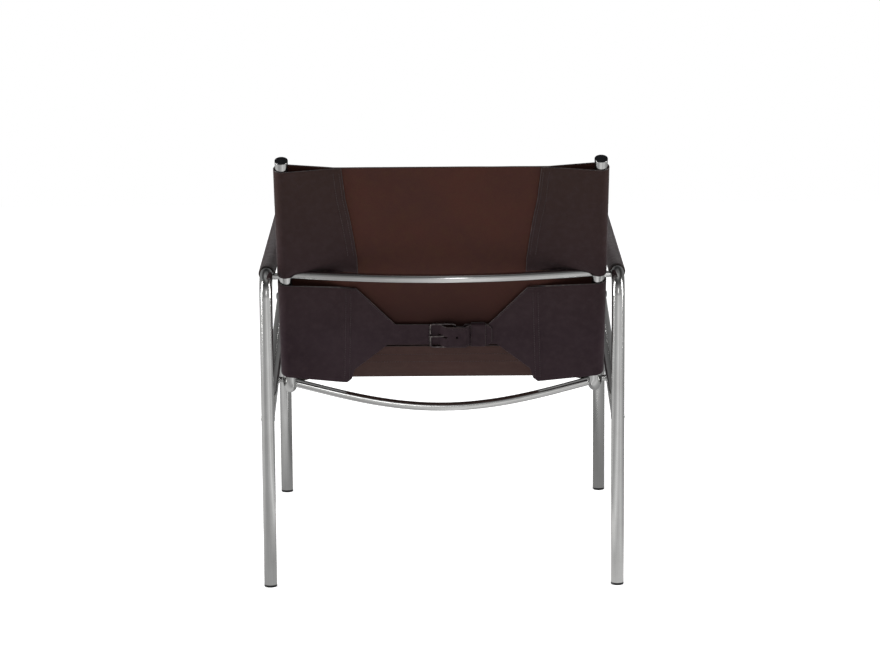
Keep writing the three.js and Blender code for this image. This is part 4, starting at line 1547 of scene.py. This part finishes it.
@dataclass
class Fittings:
    """Black caps, glides and bolt caps, and the bolts under them."""

    plastic: Plastic
    chrome: Chrome
    sizes: FrameSizes = SIZES
    plug_depth: float = 12.0
    bolt_radius: float = 4.0
    head_radius: float = 6.0

    def build(self) -> None:
        """Builds the fittings of both sides."""
        s = self.sizes
        black = self.plastic.build()
        steel = self.chrome.build(Run.ACROSS)
        for side, sign in SIDES:
            post = s.back.at(sign * s.sling_x, s.post_length, 0)
            rail = s.seat.at(sign * s.sling_x, s.rail_length, 0)
            cap = self.plug(s.cap_rim, 1.1)
            for name, at, way in (("post", post, s.back.along), ("rail", rail, s.seat.along)):
                plug, node = turned(cap, at, way), f"{name}_cap_{side}"
                make_piece(f"{name}_plug_{side}", plug, [black], [node])
            for place, y in (("rear", s.rear_y), ("front", s.rear_y - s.leg_depth)):
                foot = np.array([sign * s.side_x, y, s.glide_height + s.gap])
                glide = turned(self.plug(s.glide_height, 1.3), foot, -Z_AXIS)
                node = f"foot_glide_{place}_{side}"
                make_piece(f"glide_{place}_{side}", glide, [black], [node])
            self.bolt(side, sign, black, steel)

    def plug(self, rim: float, round_: float) -> Array:
        """The profile of a cap: a plug inside the tube and a rim with a rounded edge outside it.

        Args:
            rim: The rim's height.
            round_: How far the rim's edge is rounded.
        """
        s = self.sizes
        inner = s.tube_radius - s.wall - s.gap
        low, top = s.gap, s.gap + rim
        corners = [
            (0, -self.plug_depth),
            (inner, -self.plug_depth),
            (inner, low),
            (s.tube_radius, low),
            (s.tube_radius, top),
            (0, top),
        ]
        inside = rounded_profile(corners[:4], 0.4, 2)
        return np.concatenate([inside, rounded_profile(corners[3:], round_, 6)[1:]])

    def bolt(self, side: str, sign: int, black: Material, steel: Material) -> None:
        """The bolt through a front leg and its domed cap.

        Args:
            side: The side's name.
            sign: 1 on the chair's left, -1 on its right.
            black: The cap's finish.
            steel: The bolt's finish.
        """
        s = self.sizes
        at = np.array([sign * (s.side_x + s.tube_radius + s.gap), s.rear_y - s.leg_depth, s.bolt_height])
        shank = s.side_x - s.sling_x + s.tube_radius
        head = s.bolt_cap_height / 2
        r, h = self.bolt_radius, self.head_radius
        profile = [(0, -shank), (r, -shank), (r, 0), (h, 0), (h, head), (0, head)]
        shaft = turned(rounded_profile(profile, 0.5), at, sign * X_AXIS)
        make_piece(f"bolt_{side}", shaft, [steel], [f"frame_bolt_{side}"])
        wall = s.bolt_cap_radius - h
        inner, top = h + s.gap, head + s.gap
        dome = top + wall
        wide = inner + wall
        outer = [(wide, 0), (wide, dome * 0.35), (inner, dome * 0.8), (inner * 0.55, dome * 0.97), (0, dome)]
        profile = np.concatenate([[(0, top), (inner, top), (inner, 0)], rounded_profile(outer, 2.0, 6)])
        cap = turned(profile, at, sign * X_AXIS)
        make_piece(f"bolt_dome_{side}", cap, [black], [f"bolt_cap_{side}"])


# Belts, buckles and arm sleeves


@dataclass
class Belt:
    """One belt: a holed tongue, a strap with a loop, a keeper, a buckle frame and its prong."""

    name: str
    plane: Plane
    centre: float
    drop: float
    flap: Flap
    place: Place
    strap_half: float = 23.0
    loop_half: float = 18.0
    strap_start: float = 86.0
    shoulder: float = 157.0
    corner_x: tuple[float, ...] = (163.0, 169.0, 178.0, 186.0)
    corner_up: tuple[float, ...] = (31.0, 9.4, 0.0, 0.0)
    bar: float = 24.0
    wire: float = 2.0
    buckle_length: float = 46.0
    buckle_height: float = 51.0
    buckle_corner: float = 6.0
    loop_return: float = 16.0
    ramp_start: float = 6.0
    ramp_end: float = -8.0
    fall: float = 3.0
    prong_radius: float = 1.5
    eye_wall: float = 1.8
    eye_width: float = 5.0
    hole: float = 2.5
    hole_spacing: float = 26.0
    slot_half: float = 8.5
    keeper_near: float = 53.0
    keeper_length: float = 27.0
    keeper_leather: float = 1.8
    keeper_round: float = 2.4
    sewn_inset: float = 4.5
    bar_window: tuple[float, float] = (6.8, 3.5)
    free_holes: tuple[int, ...] = (-3, -2, -1)
    tip_taper: float = 7.0
    tip_run: float = 12.0
    tip_reach: float = 4.0
    point_blunt: float = 18.0
    loop_ease: float = 6.0
    loop_rows: int = 30
    row_start: float = 96.0
    row_inset: float = 8.0
    root_rows: tuple[float, ...] = (0.0, 9.0)
    root_row_inset: float = 6.0
    root_row_up: tuple[float, float] = (36.0, 207.0)
    root_row_x: tuple[float, float] = (182.0, 176.0)

    def build(self, leather: Sequence[Material], thread: Material, steel: Material) -> None:
        """Builds the belt's pieces.

        Args:
            leather: The grain, flesh and edge finishes.
            thread: The thread's finish.
            steel: The finish of the buckle.
        """
        level, half = LEATHER.level, LEATHER.hide / 2
        self.belt_out = 1.5 * level
        self.bar_out = self.belt_out + half + SIZES.gap + self.wire
        self.loop_radius = self.wire + SIZES.gap + half
        self.over_out = self.bar_out + self.loop_radius + level
        self.tongue(leather)
        self.strap(leather)
        self.keeper(leather)
        self.sewing(thread)
        self.buckle(steel)
        self.prong(steel)

    def root(self) -> list[tuple[float, float]]:
        """The belt's first [x, out] points: level with the flap, then a step up on to the layers below."""
        _, slope = wrap_line()
        start = LEATHER.belt_root
        level = LEATHER.level / 2 + (start - LEATHER.seam) * slope
        flat = self.belt_out
        return [(start, level), (start - 2.5, level), (LEATHER.tail_half, flat), (self.strap_start, flat)]

    def limits(self, x: Array) -> tuple[Array, Array]:
        """Returns the belt's lower and upper edge at each distance from the middle."""
        root_low, root_high = (float(v) for v in self.flap.edges(np.array(LEATHER.belt_root)))
        low_start = self.strap_start + 2 * self.strap_half / 3
        high_x = [self.strap_start, self.shoulder, LEATHER.belt_root]
        high = np.interp(x, high_x, [self.centre + self.strap_half, root_high, root_high])
        low_x = [low_start, *self.corner_x]
        low = np.interp(x, low_x, [self.centre - self.strap_half, *(root_low + up for up in self.corner_up)])
        return low, high

    def sheet(self, line: Array, low: Array, high: Array, side: int, step: float = 5.0) -> Patch:
        """A strip of leather along a line.

        Args:
            line: [x, out] points.
            low: The lower edge at each point.
            high: The upper edge.
            side: 1 for the grain side on the line's left, -1 for its right.
            step: Spacing of the grid along the tubes.
        """
        rim = LEATHER.leather / 2
        along = spread(low, high, step, rim)
        run = run_of(line)
        distance = np.minimum(along - low[:, None], high[:, None] - along)
        distance = np.maximum(np.minimum(distance, (run[-1] - run)[:, None]), 0)
        share = fade(distance, rim)
        half = LEATHER.leather * share / 2
        normal = side * normals_of(line)
        x, out = line[:, :1] + 0 * along, line[:, 1:] + 0 * along
        aside, away = normal[:, :1] * half, normal[:, 1:] * half
        grain, flesh = (self.place(x + s * aside, out + s * away, along) for s in (1, -1))
        return sheet_between(grain, flesh, half, share, caps=[(0, along.shape[1])])

    def declare(
        self, part: str, patch: Patch, leather: Sequence[Material], cutter: Patch, run: Array, wide: Array
    ) -> None:
        """Args:
            part: Which of the two it is.
            patch: Its surface.
            leather: The grain, flesh and edge finishes.
            cutter: What its holes are cut with.
            run: The length along its line, at each point. Not used.
            wide: Its width at each point. Not used.
        """
        node = f"{self.name}_belt_{part}"
        piece = make_piece(f"{self.name}_{part}", patch, leather, [node], sharp=SHEET_SHARP)
        cut(piece, cutter)

    def tongue_line(self) -> Array:
        """The tongue's [x, out] line, from its root at +X over the buckle to its tip in the keeper."""
        flat = self.belt_out + LEATHER.level
        points = [
            *self.root(),
            (self.ramp_start, self.belt_out),
            (self.ramp_end, self.over_out),
            (-self.bar - self.loop_return - self.fall, self.over_out),
            (self.fall - self.keeper_near, flat),
            (-LEATHER.strap_tip, flat),
        ]
        return line_run(points, 1.5, 3)

    def tongue(self, leather: Sequence[Material]) -> None:
        """The tongue: tapered from the flap, with round holes and the slot that the prong goes through."""
        line = self.tongue_line()
        low, high = self.limits(np.maximum(line[:, 0], self.strap_start))
        point = self.tip_taper * ease((-line[:, 0] - LEATHER.strap_tip + self.tip_run) / self.tip_run) ** 2
        patch = self.sheet(line, low + point, high - point, -1)
        middle = (self.ramp_start + self.ramp_end) / 2
        cutters = [self.cutter(middle, self.slot_half, self.hole)]
        spots = [middle + count * self.hole_spacing for count in self.free_holes]
        cutters += [self.cutter(spot, self.hole, self.hole) for spot in spots]
        self.declare("tongue", patch, leather, joined(cutters), run_of(line), high - low)

    def cutter(self, x: float, half_length: float, radius: float) -> Patch:
        """A rod with a long or round outline that cuts through the leather from outside to inside.

        Args:
            x: Its place across.
            half_length: Half its length across, with its round ends.
            radius: The radius of its ends.
        """
        turn = np.linspace(0, 2 * math.pi, 24, endpoint=False)
        shift = np.where(np.cos(turn) > 0, half_length - radius, radius - half_length)
        shift = np.where(np.abs(np.cos(turn)) < 1e-6, 0.0, shift)
        across, up = x + radius * np.cos(turn) + shift, self.centre + radius * np.sin(turn)
        depth = np.array([-9.0, 9.0])[:, None] + self.bar_out + self.drop
        rings = self.plane.at(across[None, :], up[None, :], depth)
        patch = capped(rings)
        return Patch(patch.points, patch.quads, patch.slots + Face.EDGE.value)

    def strap(self, leather: Sequence[Material]) -> None:
        """The strap: tapered from the flap, turned round the buckle's bar and back over itself."""
        root = [(-x, out) for x, out in self.root()]
        turn = np.linspace(-math.pi / 2, math.pi / 2, 15)
        radius = self.loop_radius
        loop = [(-self.bar + radius * math.cos(a), self.bar_out + radius * math.sin(a)) for a in turn]
        end = (-self.bar - self.loop_return, self.bar_out + radius)
        line = line_run([*root, *loop, end], 1.0)
        low, high = self.limits(np.maximum(-line[:, 0], self.strap_start))
        into = line[:, 0] + self.bar + self.loop_return + self.loop_ease / 2
        looped = ease(into / self.loop_ease)
        looped = np.where(np.arange(len(line)) > len(line) - self.loop_rows, 1.0, looped)
        narrow = (self.strap_half - self.loop_half) * looped
        patch = self.sheet(line, low + narrow, high - narrow, 1)
        window = self.cutter(-self.bar, *self.bar_window)
        self.declare("strap", patch, leather, window, run_of(line), high - low)

    def keeper(self, leather: Sequence[Material]) -> None:
        """The keeper: a band of thin leather closed round the strap and the tongue."""
        wall = self.keeper_leather / 2
        half = self.strap_half + SIZES.gap + wall
        low = self.belt_out - LEATHER.hide / 2 - SIZES.gap - wall
        high = self.belt_out + LEATHER.level + LEATHER.hide / 2 + SIZES.gap + wall
        corners = [(0, low), (half, low), (half, high), (-half, high), (-half, low), (0, low)]
        ring = resampled(rounded_profile(corners, self.keeper_round, 8), 1.0)[:-1]
        normal = -normals_of(ring, closed=True)
        x = near_edge(self.keeper_length, 3.0, wall)
        share = fade(np.minimum(x, self.keeper_length - x), wall)
        half_wall = np.broadcast_to(wall * share, (len(ring), len(x)))
        across = -self.keeper_near - self.keeper_length + x
        surfaces = [
            self.plane.at(
                across[None, :],
                self.centre + ring[:, :1] + s * normal[:, :1] * half_wall,
                self.drop + ring[:, 1:] + s * normal[:, 1:] * half_wall,
            )
            for s in (1, -1)
        ]
        patch, node = sheet_between(*surfaces, half_wall, share, closed=True), f"{self.name}_belt_keeper"
        piece = make_piece(f"{self.name}_keeper", patch, leather, [node], sharp=SHEET_SHARP)

    def sewing(self, thread: Material) -> None:
        """Stitches along the belt's upper edge, down its roots and along both edges of the tongue.

        Args:
            thread: The thread's finish.
        """
        rows = []
        lift = LEATHER.leather / 2
        for sign, line in ((1, self.tongue_line()), (-1, None)):
            x = np.linspace(self.row_start, LEATHER.tail_half, ROW_POINTS)
            _, high = self.limits(x)
            up = self.plane.outward
            edge_row = self.place(sign * x, self.belt_out + lift + 0 * x, high - self.sewn_inset)
            rows.append(stitches(edge_row, up))
            root_low, root_high = (float(v[0]) for v in self.limits(np.array([LEATHER.belt_root])))
            along = np.linspace(root_low + self.root_row_inset, root_high - self.row_inset, ROW_POINTS)
            for shift in self.root_rows:
                across = np.interp(along, self.root_row_up, self.root_row_x) - shift
                root = np.array(self.root())
                out = np.interp(across, root[::-1, 0], root[::-1, 1]) + lift
                rows.append(stitches(self.place(sign * across, out, along), up))
            if line is not None:
                inset = self.row_inset
                wanted = (line[:, 0] < -inset) & (line[:, 0] > -LEATHER.strap_tip + inset)
                normal = -normals_of(line)[wanted]
                across, out = (line[wanted] + normal * lift).T
                for edge in (self.strap_half - self.sewn_inset, self.sewn_inset - self.strap_half):
                    at = self.place(across, out, self.centre + edge)
                    up = normal[:, :1] * X_AXIS + normal[:, 1:] * self.plane.outward
                    rows.append(stitches(at, up))
        make_piece(f"{self.name}_belt_stitching", joined(rows), [thread])

    def buckle(self, steel: Material) -> None:
        """The buckle's frame: a ring of wire bent to a rectangle with round corners."""
        middle, corner = self.buckle_length / 2 - self.bar, self.buckle_corner
        points = []
        for quarter, (sx, sy) in enumerate(((1, 1), (-1, 1), (-1, -1), (1, -1))):
            turn = math.pi / 2 * (quarter + np.linspace(0, 1, 11))
            x = middle + sx * (self.buckle_length / 2 - corner) + corner * np.cos(turn)
            up = self.centre + sy * (self.buckle_height / 2 - corner) + corner * np.sin(turn)
            points.append(self.plane.at(x, up, self.bar_out + self.drop))
        patch, name = bead(np.concatenate(points), self.wire, 20), f"{self.name}_buckle"
        make_piece(name, patch, [steel], [f"{name}_frame"], name)

    def prong(self, steel: Material) -> None:
        """The prong: an eye rolled round the buckle's bar and a wire that rests on the far side."""
        bore = self.wire + SIZES.gap
        outer = bore + self.eye_wall
        axis = self.bar_out + self.drop
        ends = [self.plane.at(-self.bar, self.centre + s * self.eye_width / 2, axis) for s in (-1, 1)]
        eye = tube_shell(Path.straight(ends[0], ends[1], X_AXIS), outer, bore, 40, 0.4)
        rest = self.bar_out + self.wire + SIZES.gap + self.prong_radius
        tip = self.buckle_length - self.bar + self.tip_reach
        start = np.array([-self.bar + bore + self.eye_wall / 2, self.bar_out + self.eye_wall / 2])
        end = np.array([tip, rest + SIZES.gap])
        share = np.linspace(0, 1, 25)
        line = start + (end - start) * share[:, None]
        points = self.plane.at(line[:, 0], self.centre, line[:, 1] + self.drop)
        way = np.repeat(unit(points[-1] - points[0])[None], 25, 0)
        radius = self.prong_radius * np.sqrt(np.clip((1.0 - share) * self.point_blunt, 0.0, 1.0))
        radius[-1] = 0.0
        rings = Path(points, way, self.plane.along).rings(radius, 20)
        rings = np.concatenate([np.repeat(points[:1], 20, 0)[None], rings])
        patch, node = joined([eye, ring_patch(rings)]), f"{self.name}_buckle_prong"
        make_piece(f"{self.name}_prong_wire", patch, [steel], [node], f"{self.name}_prong")


def cut(piece: bpy.types.Object, patch: Patch) -> None:
    """Cuts a closed patch out of a piece, and gives the cut faces the patch's material number.

    Args:
        piece: The object to change.
        patch: The surface that cuts.
    """
    mesh = bpy.data.meshes.new("cutter")
    mesh.from_pydata((patch.points * MM).tolist(), [], patch.quads.tolist())
    mesh.polygons.foreach_set("material_index", patch.slots.astype(np.int32))
    for material in piece.data.materials:
        mesh.materials.append(material)
    seal(mesh)
    tool = bpy.data.objects.new("cutter", mesh)
    bpy.context.scene.collection.objects.link(tool)
    modifier = piece.modifiers.new("cut", "BOOLEAN")
    modifier.operation = "DIFFERENCE"
    modifier.solver = "EXACT"
    modifier.object = tool
    result = bpy.data.meshes.new_from_object(piece.evaluated_get(bpy.context.evaluated_depsgraph_get()))
    piece.modifiers.clear()
    piece.data = result
    bpy.data.objects.remove(tool)
    bpy.data.meshes.remove(mesh)
    result.set_sharp_from_angle(angle=math.radians(SHEET_SHARP))


@dataclass
class ArmSleeves:
    """Leather sewn round the straight of each arm, slit at the spacer that holds the inner tube."""

    leather: Sequence[Material]
    thread: Material
    wall: float = 2.5
    seam_gap: float = 0.35
    notch: float = 16.0
    seam_inset: float = 3.2
    columns: float = 6.0
    unevenness: float = 0.06
    notch_ease: float = 3.0
    lip: tuple[float, ...] = (0, 0.001, 0.004, 0.009, 0.015)

    def build(self) -> None:
        """Builds the sleeve of each arm and its row of stitches."""
        s = SIZES
        rear = s.rear_y - s.bend - s.gap
        front = s.rear_y - s.leg_depth + s.bend + s.gap
        spacer = s.back.at(0, s.arm_spacer_up, 0)
        inner = s.tube_radius + s.gap
        radius = inner + self.wall / 2
        y = near_edge(rear - front, self.columns, self.wall / 2) + front
        notch_end = spacer[1] - s.spacer_radius - self.wall
        slit = ease((y - notch_end + self.notch_ease / 2) / self.notch_ease)
        open_half = np.degrees(self.seam_gap / radius) + np.degrees(self.notch / 2 / radius) * slit
        lip = np.array(self.lip)
        turn = np.concatenate([lip, np.linspace(0.03, 0.97, 45), 1 - lip[::-1]])
        for side, sign in SIDES:
            seam = math.degrees(math.asin((spacer[2] - s.arm_height) / radius))
            angle = np.radians(seam + open_half[None, :] + (360 - 2 * open_half)[None, :] * turn[:, None])
            arc = radius * np.radians((360 - 2 * open_half)[None, :] * np.minimum(turn, 1 - turn)[:, None])
            ends = np.minimum(y - front, rear - y)[None, :]
            share = fade(np.minimum(arc, ends), self.wall / 2)
            wave = ripple(radius * angle, y[None, :], self.unevenness)
            out = np.stack([-sign * np.cos(angle), 0 * angle, np.sin(angle)], axis=-1)
            axis = np.array([sign * s.side_x, 0, s.arm_height]) + y[:, None] * Y_AXIS
            patch = thick_grid(out * (radius + wave)[..., None] + axis, out, self.wall * share / 2, share)
            name, node = f"arm_wrap_{side}", f"arm_sleeve_{side}"
            piece = make_piece(name, patch, self.leather, [node], sharp=SHEET_SHARP)
            rows = []
            for way in (1, -1):
                inset = np.degrees(self.seam_inset / radius)
                spot = np.radians(seam + way * (inset + open_half))
                normal = np.stack([-sign * np.cos(spot), 0 * spot, np.sin(spot)], axis=-1)
                at = normal * (radius + self.wall / 2) + axis
                rows.append(stitches(at[4:-4], normal[4:-4]))
            make_piece(f"arm_stitching_{side}", joined(rows), [self.thread])


# Camera, light and floor


@dataclass(frozen=True)
class View:
    """The camera, 6.3 m behind the chair's middle and 1.7 m above the floor, looking down by the pitch.

    Places are in metres, angles in degrees and the lens in millimetres.
    """

    place: tuple[float, float, float] = (0.00817, 6.3150, 1.6922)
    lens: float = 137.2
    yaw: float = -0.038
    pitch: float = 11.462
    roll: float = -0.40

    def build(self) -> None:
        """Makes the camera and gives it to the scene."""
        yaw, pitch, roll = (math.radians(a) for a in (self.yaw, self.pitch, self.roll))
        ahead = Vector((math.sin(yaw) * math.cos(pitch), -math.cos(yaw) * math.cos(pitch), -math.sin(pitch)))
        level = ahead.cross(Vector((0, 0, 1))).normalized()
        above = level.cross(ahead)
        right = level * math.cos(roll) + above * math.sin(roll)
        up = above * math.cos(roll) - level * math.sin(roll)
        data = bpy.data.cameras.new("view")
        data.lens = self.lens
        data.sensor_width = 36.0
        data.clip_end = 60.0
        camera = bpy.data.objects.new("view", data)
        turn = Matrix((right, up, -ahead)).transposed().to_4x4()
        camera.matrix_world = Matrix.Translation(self.place) @ turn
        bpy.context.scene.collection.objects.link(camera)
        bpy.context.scene.camera = camera


@dataclass
class Studio:
    """A white floor and background, soft lamps, and a grey tent that only reflections show.

    The tent is a ground sheet and a dome. Its glow changes round the chair, so that upright tubes show
    bright and dark lines, and with the height, so that the tops of level tubes are dark.
    """

    world: float = 0.32
    floor_size: float = 8.0
    tent_radius: float = 4.4
    tent_inside: float = 0.05
    bounce_size: tuple[float, float] = (2.2, 0.8)
    bounce_back: float = 0.62
    bounce_glow: float = 0.7
    floor_glow: float = 0.7
    aim: float = 0.42
    glow_round: tuple[tuple[float, float], ...] = (
        (-70, 0.3), (-44, 0.5), (-7, 0.85), (19, 0.82), (41, 0.55), (61, 0.57), (80, 0.78),
        (100, 1.15), (119, 0.75), (139, 0.95), (161, 0.58), (187, 0.44), (224, 0.35), (270, 0.25),
    )
    glow_up: tuple[tuple[float, float], ...] = (
        (0.002, 1), (0.1, 0.62), (0.5, 0.55), (0.72, 0.12), (0.86, 0.12), (0.95, 0.55),
    )

    def build(self) -> None:
        """Makes the studio."""
        bpy.context.scene.view_settings.view_transform = "Standard"
        self.background()
        self.floor()
        self.tent()
        for name, azimuth, elevation, distance, size, glow in (
            ("left_lamp", 16.0, 16.0, 3.4, (0.7, 2.8), 14.0),
            ("right_lamp", 163.0, 16.0, 3.4, (0.7, 2.8), 9.0),
            ("back_lamp", 95.0, 16.0, 3.4, (0.45, 1.0), 3.0),
            ("top_lamp", 90.0, 58.0, 3.2, (3.0, 1.2), 0.8),
            ("front_lamp", -75.0, 45.0, 3.6, (2.8, 1.8), 1.3),
        ):
            self.lamp(name, azimuth, elevation, distance, size, glow)
        self.bounce()

    def seen(self, tree: bpy.types.NodeTree) -> Socket:
        """Returns 1 for rays from the camera, from metal and through glass, and 0 for the others."""
        path = add_node(tree, "LightPath")
        share = path.outputs["Is Camera Ray"]
        for kind in ("Is Glossy Ray", "Is Transmission Ray"):
            share = math_node(tree, "MAXIMUM", share, path.outputs[kind])
        return share

    def background(self) -> None:
        """The world: white to the camera and in metal, a softer white for the light that it gives."""
        world = bpy.data.worlds.new("studio")
        bpy.context.scene.world = world
        world.use_nodes = True
        tree = world.node_tree
        tree.nodes.clear()
        inputs = {"Value": self.seen(tree), "To Min": self.world, "To Max": 1.0}
        strength = add_node(tree, "MapRange", inputs).outputs[0]
        back = add_node(tree, "Background", {"Color": (1, 1, 1, 1), "Strength": strength})
        add_node(tree, "OutputWorld", {"Surface": back.outputs[0]})

    def set_piece(self, name: str, points: Array, quads: Array) -> tuple[bpy.types.Object, Finish]:
        """Makes a part of the set, which isn't part of the chair.

        Args:
            name: Its name.
            points: Its points, in metres.
            quads: Its faces.

        Returns:
            The object, and its finish to be completed.
        """
        mesh = bpy.data.meshes.new(name)
        mesh.from_pydata(points.tolist(), [], quads.tolist())
        mesh.shade_smooth()
        piece = bpy.data.objects.new(name, mesh)
        bpy.context.scene.collection.objects.link(piece)
        finish = Finish(f"{name}_paint")
        mesh.materials.append(finish.material)
        return piece, finish

    def shine(self, finish: Finish, glow: Socket) -> None:
        """Makes a finish glow white by a socket's strength."""
        finish.tree.links.new(glow, finish.shader.inputs["Emission Strength"])
        finish.shader.inputs["Emission Color"].default_value = (1, 1, 1, 1)

    def floor(self) -> None:
        """A pale floor that keeps the chair's shadow, and is white to the camera elsewhere."""
        half = self.floor_size / 2
        corners = np.array([(-half, -half, 0), (half, -half, 0), (half, half, 0), (-half, half, 0)])
        _, f = self.set_piece("floor", corners, np.array([(0, 1, 2, 3)]))
        self.shine(f, math_node(f.tree, "MULTIPLY", self.seen(f.tree), self.floor_glow))
        tone, normal = f.mix(f.noise(900.0), "f4f4f4", "fafafa"), f.bump(f.noise(3.0), 0.02, 0.1)
        f.finished(tone, f.ramp(f.noise(30.0), 0.7, 0.9), normal, Specular_IOR_Level=0.1)

    def levels(
        self, tree: bpy.types.NodeTree, share: Socket, stops: Sequence[tuple[float, float]]
    ) -> Socket:
        """Returns a level that goes with a share from 0 to 1, by [share, level] stops."""
        ramp = add_node(tree, "ValToRGB", {"Fac": share})
        spots = ramp.color_ramp.elements
        for number, (place, level) in enumerate(sorted(stops)):
            spot = spots[number] if number < 2 else spots.new(1.0)
            spot.position = place
            spot.color = (level, level, level, 1)
        return ramp.outputs[0]

    def tent(self) -> None:
        """The tent, with its glow worked out from the direction round the chair."""
        rise = np.radians(np.linspace(0, 89, 24))
        foot = np.stack([np.linspace(self.tent_inside / self.tent_radius, 0.99, 12), np.full(12, 0.001)], -1)
        profile = np.concatenate([foot, np.stack([np.cos(rise), np.sin(rise)], -1)])
        turn = np.radians(np.arange(0, 360, 4))
        x, y = profile[:, :1] * np.cos(turn), profile[:, :1] * np.sin(turn)
        points = np.stack([x, y, profile[:, 1:] + 0 * turn], -1).reshape(-1, 3) * self.tent_radius
        piece, f = self.set_piece("tent", points, grid_faces(len(profile), len(turn), close_columns=True))
        for kind in ("camera", "diffuse", "shadow", "transmission", "volume_scatter"):
            setattr(piece, f"visible_{kind}", False)
        split = add_node(f.tree, "SeparateXYZ", {0: f.place}).outputs
        angle = math_node(f.tree, "ARCTAN2", math_node(f.tree, "MULTIPLY", split[0], -1.0), split[1])
        share = f.ramp(angle, 0.0, 1.0, -math.pi, math.pi)
        height = math_node(f.tree, "DIVIDE", split[2], self.tent_radius)
        round_ = self.levels(f.tree, share, [((a + 90) % 360 / 360, g) for a, g in self.glow_round])
        self.shine(f, math_node(f.tree, "MULTIPLY", round_, self.levels(f.tree, height, self.glow_up)))
        tone, normal = f.mix(f.noise(20.0), "060606", "090909"), f.bump(f.noise(2.0), 0.1, 0.2)
        f.finished(tone, f.ramp(f.noise(9.0), 0.8, 0.95), normal, Specular_IOR_Level=0.0)

    def area_light(
        self, name: str, size: tuple[float, float], glow: float, place: Matrix
    ) -> bpy.types.Object:
        """Adds a rectangular lamp whose power is pi times its glow times its area.

        Args:
            name: The lamp's name.
            size: Width and height, in metres.
            glow: How bright its face is, where 1 is white.
            place: Where it stands and how it is turned.

        Returns:
            The lamp.
        """
        data = bpy.data.lights.new(name, "AREA")
        data.shape = "RECTANGLE"
        data.size, data.size_y = size
        data.energy = glow * math.pi * size[0] * size[1]
        lamp = bpy.data.objects.new(name, data)
        lamp.matrix_world = place
        bpy.context.scene.collection.objects.link(lamp)
        return lamp

    def lamp(
        self,
        name: str,
        azimuth: float,
        elevation: float,
        distance: float,
        size: tuple[float, float],
        glow: float,
    ) -> None:
        """A soft rectangular lamp aimed at the chair.

        Args:
            name: The lamp's name.
            azimuth: Degrees round from +X towards +Y.
            elevation: Degrees up.
            distance: Metres from the chair's middle.
            size: Width and height, in metres. Reflections show only the lamps that stand upright.
            glow: How bright its face is, where 1 is white.
        """
        a, e = math.radians(azimuth), math.radians(elevation)
        way = Vector((math.cos(a) * math.cos(e), math.sin(a) * math.cos(e), math.sin(e)))
        turn = way.to_track_quat("Z", "Y").to_matrix().to_4x4()
        place = Matrix.Translation(Vector((0, 0, self.aim)) + way * distance) @ turn
        self.area_light(name, size, glow, place).visible_glossy = size[1] > size[0]

    def bounce(self) -> None:
        """The light that the bright floor behind the chair throws up at it."""
        place = Matrix.Translation((0, self.bounce_back, 0.02)) @ Matrix.Rotation(math.pi, 4, "X")
        lamp = self.area_light("bounce", self.bounce_size, self.bounce_glow, place)
        lamp.visible_glossy = False
        lamp.visible_camera = False


def main() -> None:
    """Builds the chair piece by piece."""
    logging.basicConfig(level=logging.INFO, format="%(message)s")
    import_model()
    View().build()
    Studio().build()
    chrome = Chrome()
    SteelFrame(chrome).build()
    Fittings(Plastic(), chrome).build()
    greyer = FleshLeather(
        name="saddle_leather_flesh_grey",
        colour="392a27",
        red="3e2b28",
        pale="40302c",
        dark="2a1b19",
        painted_shade_heights=(0.0, 0.01),
    )
    hides = Hides(GrainLeather(), FleshLeather(), greyer, EdgeLeather(), Thread())
    hides.build()
    steel = DarkSteel().build()
    back = Belt("back", SIZES.back, LEATHER.back_strap_up, 0.0, hides.lower, place_back)
    seat = Belt("seat", SIZES.seat, LEATHER.seat_strap_forward, LEATHER.seat_sag, hides.under, place_seat)
    for belt in (back, seat):
        belt.build(hides.leather, hides.sewn, steel)
    ArmSleeves(hides.leather, hides.sewn).build()


if __name__ == "__main__":
    main()
